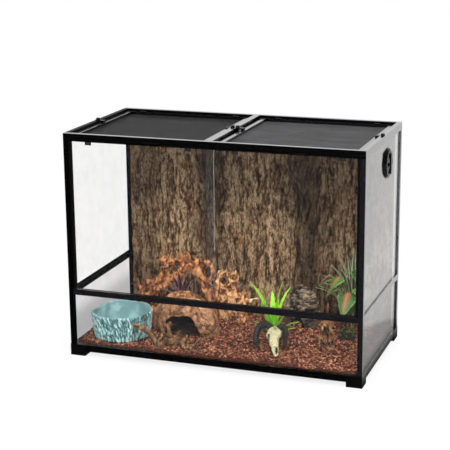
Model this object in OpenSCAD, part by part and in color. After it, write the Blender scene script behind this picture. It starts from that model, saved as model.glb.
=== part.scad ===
// Front-opening glass terrarium with a knock-down black frame, sliding glass
// doors, two lift-off screen lids, a side vent, and its furnishings.
// X runs along the front, Y from the front to the back, Z up; Z = 0 is the ground.

/* [Overall size] */
// Width over the foot caps
case_w = 915; // [905:1:1100]
// Depth over the foot caps
case_d = 470; // [465:1:600]
// Height from the ground to the top of the frame
case_h = 690; // [660:1:900]

/* [Frame] */
// Side of the square corner posts
post_w = 15; // [14:0.5:18]
// Height of the base rails
base_h = 21; // [20:0.5:30]
// Height of the rails that divide the lower panes from the upper ones
mid_h = 18; // [15:0.5:20]
// Height of the middle rails' top above the ground
mid_top = 212; // [190:1:260]
// Height of the top rails
top_h = 23; // [22:0.5:30]
// Width of the top rails' upper face
top_face = 14; // [14:0.5:18]
// How far the foot caps reach below the base rails
foot_drop = 14.5; // [8:0.5:16]
// Length of each foot cap along the base rails
foot_w = 48; // [40:1:60]
// How far the foot caps stand proud of the frame
cap_proud = 1; // [0.5:0.1:2]
// Thickness of the ledges that carry the floor
floor_ledge_t = 3; // [2:0.5:5]
// Reach of the floor ledges into the case
floor_ledge_w = 8; // [5:0.5:12]

/* [Glass] */
// Thickness of the side, rear and lower front panes
glass_t = 4; // [3:0.5:5]
// Thickness of the floor pane
floor_t = 5; // [4:0.5:8]
// How far the panes lie behind the frame's outer face
pane_set = 4; // [3:0.5:5]
// Depth of the grooves that hold the panes
groove_depth = 5; // [3:0.5:6]
// Play on each face of a pane in its groove
groove_play = 0.15; // [0.1:0.05:0.3]
// Play at the loose edges of a pane
edge_play = 0.5; // [0.3:0.1:1]

/* [Sliding doors] */
// Thickness of the door glass
door_t = 4; // [3:0.5:4]
// Play on each face of a door in its track
door_play = 0.2; // [0.1:0.05:0.3]
// Overlap of the two doors in the middle
door_overlap = 26; // [16:1:60]
// Wall of the track profiles
track_wall = 0.8; // [0.6:0.1:1]
// Rib between the two grooves of a track
track_rib = 1; // [0.8:0.1:1.2]
// Height of the bottom track
track_h = 6; // [5:0.5:8]
// Floor under the grooves of the bottom track
track_floor = 1; // [0.8:0.1:2]
// Front lip that hides the tracks
lip_t = 2.5; // [2:0.1:3]
// Width of the side channels that the doors close into
jamb_w = 8; // [6:0.5:12]
// Web left at the bottom of a side channel's groove
jamb_web = 2; // [1:0.5:3]
// Play above the doors, which lets them be lifted out
door_lift = 2; // [1:0.5:3]

/* [Screen lids] */
// Height of the lid rails
lid_h = 12; // [10:0.5:13]
// Width of the lid rails
lid_rail_w = 18; // [16:0.5:24]
// Length of a lid's corner pieces
lid_corner = 30; // [26:1:40]
// Gap round a lid
lid_gap = 0.5; // [0.4:0.1:1]
// Reach of the ledges that carry the lids
lid_ledge_w = 5; // [4:0.5:8]
// Height of the ledges that carry the lids
lid_ledge_h = 4; // [3:0.5:6]
// Step along the outer edge of a lid rail
lid_step_w = 6; // [4:0.5:8]
// Depth of that step
lid_step_h = 2; // [1:0.5:3]
// Thickness of the screen
mesh_t = 1; // [0.8:0.1:2]
// Height of the screen above the underside of its lid
mesh_lift = 3; // [2:0.5:5]
// Openings of the screen along each side
mesh_count = 12; // [6:1:12]
// Width of the bars between the screen's openings
mesh_bar = 6; // [4:0.5:10]
// Width of a clip and of its leg
clip_w = 19; // [12:1:24]
// Distance from the ends of the case to its outer clips
clip_end = 72; // [60:1:110]
// Distance from the middle of the case to its inner clips
clip_mid = 71; // [60:1:110]
// Reach of the clip legs below the lids
clip_leg = 17; // [10:1:22]
// Thickness of a clip leg
clip_leg_t = 3; // [2:0.5:4]
// Height of the clip heads above the lid rails
clip_head_h = 2.5; // [2:0.5:4]

/* [Centre bar and latches] */
// Width of the well that the centre bar fills between the lids
bar_w = 28; // [28:0.5:36]
// Width of the centre bar's raised top
bar_top_w = 20; // [19:0.5:22]
// Distance of each centre latch from the middle of the bar
latch_off = 7.7; // [7.5:0.1:7.8]
// Radius of a latch's knob
knob_r = 6.2; // [5.5:0.1:6.4]
// Height of a latch's knob above its tongue
knob_h = 3.5; // [2.5:0.5:5]
// Thickness of a latch's tongue
tongue_t = 2.5; // [2:0.5:3]
// Width of a latch's tongue
tongue_w = 6; // [4:0.5:8]
// Reach of a tongue from its pivot
tongue_reach = 13; // [12:0.5:14]
// Radius of a latch's pivot
pivot_r = 2.5; // [2:0.1:3]
// Running clearance round a pivot
pivot_play = 0.05; // [0.02:0.01:0.1]
// Depth of the pivot in the frame
pivot_len = 9; // [6:0.5:9]
// Play between a tongue and the lug that it locks
lug_play = 0.5; // [0.3:0.1:1]

/* [Side vent] */
// Radius of the vent's flange
vent_r = 45; // [42:0.5:55]
// Radius of the hole in the glass
vent_hole_r = 38.3; // [36:0.1:38.5]
// Play between the vent's neck and the glass
vent_play = 0.3; // [0.2:0.05:0.5]
// Wall of the vent's neck
vent_wall = 4; // [3:0.5:5]
// Thickness of the vent's flange
flange_t = 3; // [2:0.5:4]
// Reach of the neck behind the flange
neck_len = 13; // [11:0.5:16]
// Thickness of the nut that clamps the flange
nut_t = 6; // [5:0.5:7]
// Radius of the rotating dial
dial_r = 40.5; // [38:0.5:41]
// Thickness of the dial at its edge
dial_edge = 4; // [3:0.5:4.5]
// Thickness of the dial at its middle
dial_mid = 7; // [6:0.5:8]
// Height of the grip across the dial
grip_h = 4.8; // [3:0.1:5]
// Radius of the dial's pivot pin
dial_pin_r = 3; // [2.5:0.1:4]
// Number of windows in the dial and in the flange
window_count = 6; // [4:1:8]
// Inner radius of the windows
window_in = 14; // [11:0.5:18]
// Outer radius of the windows
window_out = 33; // [26:0.5:33]
// Distance from the middle of the case to the vent, towards the back
vent_y = 55; // [0:1:100]
// Distance from the top of the frame to the middle of the vent
vent_down = 92; // [80:1:140]

/* [Bark panel and substrate] */
// Thickness of the bark panel at its highest ridges
bark_t = 12; // [10:0.5:20]
// Depth of the furrows between the ridges
bark_furrow = 5; // [3:0.5:7]
// Gap at each end of the bark panel
bark_end_gap = 5; // [1:0.5:12]
// Gap between the bark panel and the lids' clip legs above it
bark_top_gap = 2; // [1:0.5:30]
// Depth of the substrate over the floor glass
substrate_depth = 19; // [17:1:40]
// Width of the slope that the substrate has along the front glass
slope_w = 13; // [8:1:20]
// Height of that slope
slope_h = 5; // [3:0.5:8]
// Play round the loose contents
loose_play = 0.3; // [0.3:0.1:1]

/* [Bowl and cave] */
// Radius of the bowl at its rim
bowl_r = 97; // [80:1:99]
// Radius of the bowl at its base
bowl_base_r = 88; // [70:1:90]
// Height of the bowl
bowl_h = 80; // [50:1:90]
// Wall of the bowl
bowl_wall = 7; // [5:0.5:10]
// Width of the cave
cave_w = 248; // [220:1:250]
// Depth of the cave from front to back
cave_d = 130; // [112:1:132]
// Height of the cave
cave_h = 127; // [104:1:132]
// Wall of the cave
cave_wall = 11; // [8:0.5:14]
// Width of the cave's doorway
cave_door_w = 142; // [100:1:150]
// Height of the cave's doorway
cave_door_h = 70; // [50:1:76]

/* [Stones and stump] */
// Width of the rock hide
rock_w = 135; // [110:1:138]
// Depth of the rock hide
rock_d = 84; // [70:1:88]
// Height of the rock hide
rock_h = 136; // [110:1:140]
// Wall of the rock hide
rock_wall = 9; // [7:0.5:12]
// Width of the rock hide's doorway
rock_door_w = 52; // [36:1:60]
// Height of the rock hide's doorway
rock_door_h = 46; // [30:1:60]
// Width of the mossy stone
moss_w = 58; // [44:1:62]
// Height of the mossy stone
moss_h = 34; // [26:1:46]

/* [Wood and plants] */
// Height of the driftwood tangle at the left
tangle_h = 204; // [180:1:210]
// Height of the driftwood cluster in the middle
cluster_h = 166; // [146:1:172]
// Height of the loose roots
roots_h = 75; // [68:1:80]
// Height of the stump with its stick
stump_h = 160; // [140:1:174]
// Height of the ram's skull
skull_h = 86; // [76:1:92]
// Height of the bromeliad
bromeliad_h = 190; // [170:1:200]
// Height of the leafy plants
leafy_h = 262; // [236:1:280]
// Height of the tuft of leaves before the driftwood tangle
tuft_h = 156; // [120:1:160]

/* [Hidden] */

// A hair that takes a cut past the face that it opens
over = 1;
round_fn = 64;

// Frame planes
half_w = case_w / 2;
half_d = case_d / 2;
frame_x = half_w - cap_proud;
frame_y = half_d - cap_proud;
in_x = frame_x - post_w;
in_y = frame_y - post_w;
base_top = foot_drop + base_h;
mid_bottom = mid_top - mid_h;
top_bottom = case_h - top_h;
floor_z = foot_drop + floor_ledge_t;
floor_top = floor_z + floor_t;
ledge_top = top_bottom + lid_ledge_h;
well_x = frame_x - top_face;
well_y = frame_y - top_face;

// Door tracks, measured inwards from the frame's front face
door_gap = door_t + 2 * door_play;
groove_a = lip_t + track_wall;
groove_b = groove_a + door_gap + track_rib;
track_w = 2 * track_wall + 2 * door_gap + track_rib;
track_in = lip_t + track_w;
track_rise = 8;
track_roof_z = ledge_top + track_rise;
web_z = track_roof_z + 1;
mid_front_top = mid_top - track_h;
door_z = mid_front_top + track_floor;
door_h = track_roof_z - door_lift - door_z;
door_end = in_x - jamb_web - loose_play;

// Lids
lid_z = ledge_top;
lid_top = lid_z + lid_h;
bar_half = bar_w / 2;
lid_in_x = bar_half + lid_gap;
lid_out_x = well_x - lid_gap;
lid_w = lid_out_x - lid_in_x;
lid_half_d = well_y - lid_gap;
screen_z = lid_z + mesh_lift;
screen_groove = 4;
leg_y = frame_y - top_face - lid_ledge_w - lid_gap;
lug_w = 14;
lug_in = 14;
lug_top = case_h - lug_play;
lug_floor = 3;
seam_w = 2;
seam_h = 1;
clip_inset = 2;
clip_slot = 3;

// Latches
latch_pad = 4;
knob_flat = 1.2;

// Vent
vent_z = case_h - vent_down;
glass_out_x = frame_x - pane_set;
glass_in_x = glass_out_x - glass_t;
neck_r = vent_hole_r - vent_play;
hub_r = dial_pin_r + 4;
hub_len = 9;
nut_r = vent_r + 1;
nut_notches = 12;
nut_notch_r = 3;
dial_play = 0.2;
dial_bevel = 1;
grip_w = 12;
grip_r = window_out - 2;
window_angle = 180 / window_count;
window_half = window_angle / 2 - 2;

// Contents: sizes that follow from the walls
bark_back = in_y - loose_play;
bark_front = bark_back - bark_t;
bark_half_w = in_x - bark_end_gap;
bark_top = lid_z - clip_leg - bark_top_gap;
substrate_top = floor_top + substrate_depth;
bowl_cut = 0.96;
moss_d = 46;

// Places of the contents: their distances from the right wall, the front glass, the bark and each other
bowl_x = -in_x + bowl_r + 11;
bowl_y = -in_y + bowl_r + 6;
cave_x = bowl_x + bowl_r + cave_w / 2 - 49;
cave_y = bowl_y + 96;
cave_turn = -10;
cave_door_off = 26;
rock_x = 172;
rock_y = bark_front - rock_d / 2 - 23;
rock_door_off = -8;
tangle_x = -in_x + 196;
tangle_y = bark_front - 93;
cluster_x = -47;
cluster_y = bark_front - 81;
stump_x = in_x - 138;
stump_y = -in_y + 162;
skull_x = 160;
skull_y = -in_y + 100;
bromeliad_x = 132;
bromeliad_y = -in_y + 178;
leafy_x = in_x - 104;
leafy_y = bark_front - 73;
tuft_x = tangle_x + 40;
tuft_y = tangle_y - 51;
moss_x = in_x - 103;
moss_y = leafy_y - 74;

// ---- Shared shapes ----

// A box between two corners
module block(low, high) translate(low) cube(high - low);

// A profile in Y and Z carried along X
module along_x(x0, x1) translate([x0, 0, 0]) rotate([90, 0, 90]) linear_extrude(x1 - x0) children();

// A profile in X and Z carried along Y
module along_y(y0, y1) translate([0, y1, 0]) rotate([90, 0, 0]) linear_extrude(y1 - y0) children();

// What is drawn at the front left corner, in the corner that the signs name
module at_corner(sx, sy) mirror([sx > 0 ? 1 : 0, 0, 0]) mirror([0, sy > 0 ? 1 : 0, 0]) children();

function unit(v) = v / norm(v);
function heading(path, i) = unit(path[min(i + 1, len(path) - 1)] - path[max(i - 1, 0)]);

// Rings of points square to a path. Each ring is an ellipse: wide across the path, tall along its normal
function ring_points(path, wide, tall, sides, ref) = [
    for (i = [0:len(path) - 1])
        let (t = heading(path, i), side = unit(cross(t, ref)), normal = cross(side, t))
        for (k = [0:sides - 1])
            path[i] + wide[i] * cos(360 * k / sides) * side + tall[i] * sin(360 * k / sides) * normal
];

// The triangles that join the rings and close both ends
function ring_faces(rings, sides) = concat(
    [[for (k = [sides - 1:-1:0]) k]],
    [for (i = [0:rings - 2]) for (k = [0:sides - 1])
        [i * sides + k, i * sides + (k + 1) % sides, (i + 1) * sides + (k + 1) % sides]],
    [for (i = [0:rings - 2]) for (k = [0:sides - 1])
        [i * sides + k, (i + 1) * sides + (k + 1) % sides, (i + 1) * sides + k]],
    [[for (k = [0:sides - 1]) (rings - 1) * sides + k]]
);

// A round limb of wood along a path, with a radius at each point
module limb(path, radii, sides = 7, ref = [0.2, 1, 0.1])
    polyhedron(ring_points(path, radii, radii, sides, ref), ring_faces(len(path), sides), convexity = 6);

// A flat leaf along a path, with a half width at each point
module blade(path, halves, thick = 0.9, ref = [0, 0, 1])
    polyhedron(ring_points(path, halves, [for (h = halves) thick], 4, ref),
        ring_faces(len(path), 4), convexity = 6);

// A stretch of a curve that starts at one point, leaves in a direction and ends at another
function arc_path(start, lift, end, steps) = [
    for (i = [0:steps])
        let (t = i / steps)
        (1 - t) * (1 - t) * start + 2 * t * (1 - t) * (start + lift) + t * t * end
];

// What stands on the substrate, cut flat where it meets it
module on_substrate() intersection() {
    children();
    block([-case_w, -case_d, substrate_top], [case_w, case_d, case_h]);
}

// What is drawn about the origin at one height, stood on the substrate and scaled to its own height
module stood(x, y, height, drawn) translate([x, y, substrate_top]) scale(height / drawn) children();

// ---- Glass and its grooves ----

// A pane in a side wall, between two heights; grow is the play on each face
module pane_x(sx, z0, z1, play, grow) {
    low = sx > 0 ? glass_in_x - grow : -glass_out_x - grow;
    block([low, -in_y - groove_depth + play, z0 - groove_depth],
        [low + glass_t + 2 * grow, in_y + groove_depth - play, z1 + groove_depth - play]);
}

// A pane in the front or rear wall, between two heights
module pane_y(sy, z0, z1, play, grow) {
    low = sy > 0 ? frame_y - pane_set - glass_t - grow : -frame_y + pane_set - grow;
    block([-in_x - groove_depth + play, low, z0 - groove_depth],
        [in_x + groove_depth - play, low + glass_t + 2 * grow, z1 + groove_depth - play]);
}

// The grooves that all frame members share
module glass_grooves() {
    for (s = [-1, 1]) {
        pane_x(s, base_top, mid_bottom, 0, groove_play);
        pane_x(s, mid_top, top_bottom, 0, groove_play);
        pane_y(s, base_top, mid_bottom, 0, groove_play);
    }
    pane_y(1, mid_top, top_bottom, 0, groove_play);
}

module glass_color() color([0.75, 0.82, 0.84, 0.35]) children();
module frame_color() color([0.05, 0.05, 0.06]) children();

module floor_glass() glass_color()
    block([-in_x + edge_play, -in_y + edge_play, floor_z], [in_x - edge_play, in_y - edge_play, floor_top]);

module lower_glass_front() glass_color() pane_y(-1, base_top, mid_bottom, edge_play, 0);
module lower_glass_rear() glass_color() pane_y(1, base_top, mid_bottom, edge_play, 0);
module lower_glass_left() glass_color() pane_x(-1, base_top, mid_bottom, edge_play, 0);
module lower_glass_right() glass_color() pane_x(1, base_top, mid_bottom, edge_play, 0);
module upper_glass_rear() glass_color() pane_y(1, mid_top, top_bottom, edge_play, 0);
module upper_glass_left() glass_color() pane_x(-1, mid_top, top_bottom, edge_play, 0);

module upper_glass_right() glass_color() difference() {
    pane_x(1, mid_top, top_bottom, edge_play, 0);
    translate([glass_in_x - over, vent_y, vent_z]) rotate([0, 90, 0])
        cylinder(r = vent_hole_r, h = glass_t + 2 * over, $fn = round_fn);
}

// ---- Base ----

// The front left foot cap: two walls and a pad under the corner
module foot_cap() frame_color() difference() {
    union() {
        block([-half_w, -half_d, 0], [-half_w + foot_w, -half_d + foot_w, floor_z]);
        block([-half_w, -half_d, 0], [-in_x, -half_d + foot_w, base_top]);
        block([-half_w, -half_d, 0], [-half_w + foot_w, -in_y, base_top]);
    }
    glass_grooves();
}

module base_rail_along_x() frame_color() difference() {
    union() {
        block([-half_w + foot_w, -frame_y, foot_drop], [half_w - foot_w, -in_y, base_top]);
        block([-half_w + foot_w, -in_y - over, foot_drop],
            [half_w - foot_w, -in_y + floor_ledge_w, floor_z]);
    }
    glass_grooves();
}

module base_rail_along_y() frame_color() difference() {
    union() {
        block([-frame_x, -half_d + foot_w, foot_drop], [-in_x, half_d - foot_w, base_top]);
        block([-in_x - over, -half_d + foot_w, foot_drop],
            [-in_x + floor_ledge_w, half_d - foot_w, floor_z]);
    }
    glass_grooves();
}

module base_rail_front() base_rail_along_x();
module base_rail_rear() mirror([0, 1, 0]) base_rail_along_x();
module base_rail_left() base_rail_along_y();
module base_rail_right() mirror([1, 0, 0]) base_rail_along_y();
module foot_front_left() foot_cap();
module foot_front_right() at_corner(1, -1) foot_cap();
module foot_rear_left() at_corner(-1, 1) foot_cap();
module foot_rear_right() at_corner(1, 1) foot_cap();

// ---- Posts and middle rails ----

module corner_post(sx, sy) frame_color() difference() {
    at_corner(sx, sy) block([-frame_x, -frame_y, base_top], [-in_x, -in_y, top_bottom]);
    glass_grooves();
}

module post_front_left() corner_post(-1, -1);
module post_front_right() corner_post(1, -1);
module post_rear_left() corner_post(-1, 1);
module post_rear_right() corner_post(1, 1);

// The front rail is lower than the others and carries the bottom track behind its lip
module mid_rail_front() frame_color() difference() {
    union() {
        block([-in_x, -frame_y, mid_bottom], [in_x, -in_y, mid_front_top]);
        block([-in_x, -frame_y, mid_bottom], [in_x, -frame_y + lip_t, mid_top]);
    }
    glass_grooves();
}

module mid_rail_rear() frame_color() difference() {
    block([-in_x, in_y, mid_bottom], [in_x, frame_y, mid_top]);
    glass_grooves();
}

module mid_rail_side(sx) frame_color() difference() {
    at_corner(sx, -1) block([-frame_x, -in_y, mid_bottom], [-in_x, in_y, mid_top]);
    glass_grooves();
}

module mid_rail_left() mid_rail_side(-1);
module mid_rail_right() mid_rail_side(1);

// ---- Top frame ----

// The bore that holds a latch's pivot
module pivot_bore() translate([0, 0, case_h - pivot_len - over])
    cylinder(r = pivot_r + pivot_play, h = pivot_len + 2 * over, $fn = round_fn);

// The front rail covers the top track; its ends are solid over the posts
module top_rail_front() frame_color() {
    difference() {
        block([-frame_x, -frame_y, top_bottom], [frame_x, -frame_y + top_face, case_h]);
        block([-well_x, -frame_y + lip_t, top_bottom - over], [well_x, -well_y + over, web_z]);
        glass_grooves();
    }
}

module top_rail_rear() frame_color() difference() {
    union() {
        block([-frame_x, well_y, top_bottom], [frame_x, frame_y, case_h]);
        block([-well_x, well_y - lid_ledge_w, top_bottom], [well_x, well_y + over, ledge_top]);
    }
    glass_grooves();
}

module top_rail_side(sx) frame_color() difference() {
    union() {
        at_corner(sx, -1) block([-frame_x, -well_y, top_bottom], [-well_x, well_y, case_h]);
        at_corner(sx, -1) block([-well_x - over, -well_y + lid_ledge_w, top_bottom],
            [-well_x + lid_ledge_w, well_y - lid_ledge_w, ledge_top]);
    }
    glass_grooves();
    translate([sx * (frame_x - top_face / 2), 0, 0]) pivot_bore();
}

module top_rail_left() top_rail_side(-1);
module top_rail_right() top_rail_side(1);

// The centre bar has a base with a ledge on each side, a raised top that leaves
// a shadow gap on its right, and a pad across that gap for the right-hand latch
module center_bar() frame_color() difference() {
    union() {
        block([-bar_half - lid_ledge_w, -well_y + lid_ledge_w, top_bottom],
            [bar_half + lid_ledge_w, well_y - lid_ledge_w, ledge_top]);
        block([-bar_half, -well_y, ledge_top], [-bar_half + bar_top_w, well_y, case_h]);
        block([-bar_half, -knob_r - latch_pad, ledge_top], [bar_half, knob_r + latch_pad, case_h]);
    }
    for (s = [-1, 1]) translate([s * latch_off, 0, 0]) pivot_bore();
}

// ---- Sliding doors ----

// The two grooves of a track, between two heights
module track_grooves(x0, x1, z0, z1)
    for (g = [groove_a, groove_b])
        block([x0, -frame_y + g, z0], [x1, -frame_y + g + door_gap, z1]);

module door_track_top() frame_color() difference() {
    union() {
        block([-well_x, -frame_y + lip_t, top_bottom], [well_x, -frame_y + track_in, web_z]);
        block([-well_x, -frame_y + track_in - track_wall / 2, top_bottom],
            [well_x, -well_y + lid_ledge_w, ledge_top]);
    }
    track_grooves(-well_x - over, well_x + over, top_bottom - over, track_roof_z);
}

module door_track_bottom() frame_color() difference() {
    block([-in_x, -frame_y + lip_t, mid_front_top], [in_x, -frame_y + track_in, mid_top]);
    track_grooves(-in_x - over, in_x + over, door_z, mid_top + over);
}

module door_jambs() frame_color() for (s = [-1, 1]) at_corner(s, -1) difference() {
    block([-in_x, -frame_y + lip_t, mid_top], [-in_x + jamb_w, -frame_y + track_in, top_bottom]);
    track_grooves(-in_x + jamb_web, -in_x + jamb_w + over, mid_top - over, top_bottom + over);
}

// A door's glass from its closed edge to past the middle; the left one runs in the outer groove
module door_pane(sx, groove) glass_color() at_corner(sx, -1)
    block([-door_end, -frame_y + groove + door_play, door_z],
        [door_overlap / 2, -frame_y + groove + door_play + door_t, door_z + door_h]);

module door_glass_left() door_pane(-1, groove_a);
module door_glass_right() door_pane(1, groove_b);

// ---- Screen lids, drawn on the left and mirrored ----

// A lid rail's section, from its outer edge inwards
module lid_section() polygon([
    [0, 0], [lid_rail_w, 0], [lid_rail_w, lid_h], [lid_step_w, lid_h],
    [lid_step_w, lid_h - lid_step_h], [0, lid_h - lid_step_h]
]);

// The space of the screen's edge, with its play
module screen_space(grow) block(
    [-lid_out_x + lid_rail_w - screen_groove - grow, -lid_half_d + lid_rail_w - screen_groove - grow,
        screen_z - grow],
    [-lid_in_x - lid_rail_w + screen_groove + grow, lid_half_d - lid_rail_w + screen_groove + grow,
        screen_z + mesh_t + grow]);

module lid_rails() color([0.09, 0.09, 0.1]) difference() {
    union() {
        for (s = [-1, 1]) at_corner(-1, s)
            translate([0, -lid_half_d, lid_z])
                along_x(-lid_out_x + lid_corner, -lid_in_x - lid_corner) lid_section();
        translate([-lid_out_x, 0, lid_z])
            along_y(-lid_half_d + lid_corner, lid_half_d - lid_corner) lid_section();
        translate([-lid_in_x, 0, lid_z]) mirror([1, 0, 0])
            along_y(-lid_half_d + lid_corner, lid_half_d - lid_corner) lid_section();
    }
    screen_space(groove_play);
}

// One corner piece, with its outer corner at the origin
module lid_corner_piece() difference() {
    cube([lid_corner, lid_corner, lid_h]);
    translate([lid_rail_w, lid_rail_w, -over]) cube([lid_corner, lid_corner, lid_h + 2 * over]);
    translate([lid_corner - seam_w, lid_step_w, lid_h - seam_h])
        cube([seam_w + over, lid_rail_w - lid_step_w + over, seam_h + over]);
}

// Two blocks that the latch's tongue locks: a foot on the lid rail and a shelf over its step
module lid_lug() {
    block([lid_step_w, -lug_w / 2, lid_h], [lug_in, lug_w / 2, lug_top - lid_z]);
    block([over, -lug_w / 2, lug_top - lid_z - lug_floor], [lug_in, lug_w / 2, lug_top - lid_z]);
}

// Corner pieces, clip heads with a slot, clip legs, and one lug at each of the lid's ends
module lid_fittings() color([0.12, 0.12, 0.13]) {
    difference() {
        for (sy = [-1, 1]) at_corner(-1, sy) {
            translate([-lid_out_x, -lid_half_d, lid_z]) lid_corner_piece();
            translate([-lid_in_x, -lid_half_d, lid_z]) mirror([1, 0, 0]) lid_corner_piece();
        }
        screen_space(groove_play);
    }
    for (sy = [-1, 1]) for (cx = [-half_w + clip_end, -clip_mid]) at_corner(-1, sy) {
        difference() {
            block([cx - clip_w / 2, -lid_half_d + lid_step_w, lid_top],
                [cx + clip_w / 2, -lid_half_d + lid_rail_w - clip_inset, lid_top + clip_head_h]);
            block([cx - clip_w / 3, -lid_half_d + lid_step_w - over, lid_top - over],
                [cx + clip_w / 3, -lid_half_d + lid_step_w + clip_slot, lid_top + clip_head_h / 2]);
        }
        block([cx - clip_w / 2, -leg_y, lid_z - clip_leg],
            [cx + clip_w / 2, -leg_y + clip_leg_t, lid_z]);
    }
    translate([-lid_out_x, 0, lid_z]) lid_lug();
    translate([-lid_in_x, 0, lid_z]) mirror([1, 0, 0]) lid_lug();
}

// The screen as a flat net: a plate with rows of square openings
module lid_screen() color([0.2, 0.2, 0.2]) {
    x0 = -lid_out_x + lid_rail_w;
    y0 = -lid_half_d + lid_rail_w;
    step_x = (lid_w - 2 * lid_rail_w - mesh_bar) / mesh_count;
    step_y = (2 * lid_half_d - 2 * lid_rail_w - mesh_bar) / mesh_count;
    translate([0, 0, screen_z]) linear_extrude(mesh_t) difference() {
        translate([x0 - screen_groove, y0 - screen_groove])
            square([lid_w - 2 * lid_rail_w + 2 * screen_groove,
                2 * lid_half_d - 2 * lid_rail_w + 2 * screen_groove]);
        for (i = [0:mesh_count - 1]) for (j = [0:mesh_count - 1])
            translate([x0 + mesh_bar + i * step_x, y0 + mesh_bar + j * step_y])
                square([step_x - mesh_bar, step_y - mesh_bar]);
    }
}

module lid_rails_left() lid_rails();
module lid_rails_right() mirror([1, 0, 0]) lid_rails();
module lid_fittings_left() lid_fittings();
module lid_fittings_right() mirror([1, 0, 0]) lid_fittings();
module lid_screen_left() lid_screen();
module lid_screen_right() mirror([1, 0, 0]) lid_screen();

// ---- Latches ----

// A latch at rest, with its tongue along the frame, clear of the lid
module latch(x) color([0.04, 0.04, 0.04]) translate([x, 0, 0]) {
    translate([0, 0, case_h - pivot_len]) cylinder(r = pivot_r, h = pivot_len + over, $fn = round_fn);
    translate([0, 0, case_h]) difference() {
        union() {
            cylinder(r = knob_r, h = tongue_t + knob_h, $fn = round_fn);
            block([-tongue_w / 2, -tongue_reach, 0], [tongue_w / 2, 0, tongue_t]);
        }
        for (s = [0, 1]) mirror([s, 0, 0]) translate([0, 0, tongue_t])
            block([knob_r - knob_flat, -knob_r, 0], [knob_r + over, knob_r, knob_h + over]);
    }
}

module latch_left() latch(-frame_x + top_face / 2);
module latch_center_left() latch(-latch_off);
module latch_center_right() latch(latch_off);
module latch_right() latch(frame_x - top_face / 2);

// ---- Side vent: turned round the vent's axis, with Z outwards, then laid along X ----

module vent_place(x) translate([x, vent_y, vent_z]) rotate([0, 90, 0]) children();

// Windows between two radii, with webs as wide between them
module vent_windows(turn, z0, z1) for (i = [0:window_count - 1])
    rotate([0, 0, turn + i * 360 / window_count]) translate([0, 0, z0])
        intersection() {
            difference() {
                cylinder(r = window_out, h = z1 - z0, $fn = round_fn);
                translate([0, 0, -over]) cylinder(r = window_in, h = z1 - z0 + 2 * over, $fn = round_fn);
            }
            linear_extrude(z1 - z0) polygon([
                [0, 0],
                [2 * window_out, -2 * window_out * tan(window_half)],
                [2 * window_out, 2 * window_out * tan(window_half)]
            ]);
        }

module vent_flange() color([0.07, 0.07, 0.07]) vent_place(glass_out_x) difference() {
    union() {
        cylinder(r = vent_r, h = flange_t, $fn = round_fn);
        difference() {
            translate([0, 0, -neck_len]) cylinder(r = neck_r, h = neck_len + over, $fn = round_fn);
            translate([0, 0, -neck_len - over])
                cylinder(r = neck_r - vent_wall, h = neck_len + 2 * over, $fn = round_fn);
        }
        translate([0, 0, flange_t - hub_len]) cylinder(r = hub_r, h = hub_len, $fn = round_fn);
    }
    translate([0, 0, flange_t - hub_len - over])
        cylinder(r = dial_pin_r + pivot_play, h = hub_len + 2 * over, $fn = round_fn);
    vent_windows(0, -over, flange_t + over);
}

module vent_nut() color([0.07, 0.07, 0.07]) vent_place(glass_in_x - nut_t) difference() {
    cylinder(r = nut_r, h = nut_t, $fn = round_fn);
    translate([0, 0, -over]) cylinder(r = neck_r + pivot_play, h = nut_t + 2 * over, $fn = round_fn);
    for (i = [0:nut_notches - 1]) rotate([0, 0, i * 360 / nut_notches])
        translate([nut_r + nut_notch_r / 2, 0, -over])
            cylinder(r = nut_notch_r, h = nut_t + 2 * over, $fn = 24);
}

// The dial is domed, carries a raised grip, and its windows lie over the flange's webs
module vent_dial() color([0.05, 0.05, 0.05]) vent_place(glass_out_x + flange_t + dial_play) {
    dome_r = dial_r - dial_bevel;
    difference() {
        union() {
            rotate_extrude($fn = 96) polygon(concat(
                [[0, 0], [dial_r, 0], [dial_r, dial_edge - dial_bevel]],
                [for (i = [0:5]) let (r = dome_r * (1 - i / 5))
                    [r, dial_edge + (dial_mid - dial_edge) * (1 - pow(r / dome_r, 2))]]
            ));
            intersection() {
                block([-grip_r, -grip_w / 2, 0], [grip_r, grip_w / 2, dial_edge + grip_h + 1]);
                cylinder(r = grip_r, h = dial_mid + grip_h, $fn = round_fn);
            }
        }
        difference() {
            vent_windows(window_angle, -over, dial_mid + 2);
            block([-window_out, -grip_w / 2, -2 * over], [window_out, grip_w / 2, dial_mid + grip_h]);
        }
    }
    translate([0, 0, -hub_len]) cylinder(r = dial_pin_r, h = hub_len + over, $fn = round_fn);
}

// ---- Bark panel and substrate ----

// Columns and rows of the bark's face, and the spacing of its ridges, of the small ridges on them, of the
// breaks across them and of their sway
bark_columns = 112;
bark_rows = 18;
ridge_pitch = 61;
small_pitch = 37;
break_pitch = 118;
sway_pitch = 260;
sway = 7;

// Depth of the bark's face under its highest ridges: waves along its width that sway with the height
function furrow(x, z) =
    let (u = x + sway * sin(360 * z / sway_pitch))
    bark_furrow * (0.5 + 0.24 * sin(360 * u / ridge_pitch + 40) + 0.16 * sin(360 * u / small_pitch + 160)
        + 0.1 * sin(360 * (z + 2 * u) / break_pitch));

function bark_index(i, j) = j * (bark_columns + 1) + i;

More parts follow.
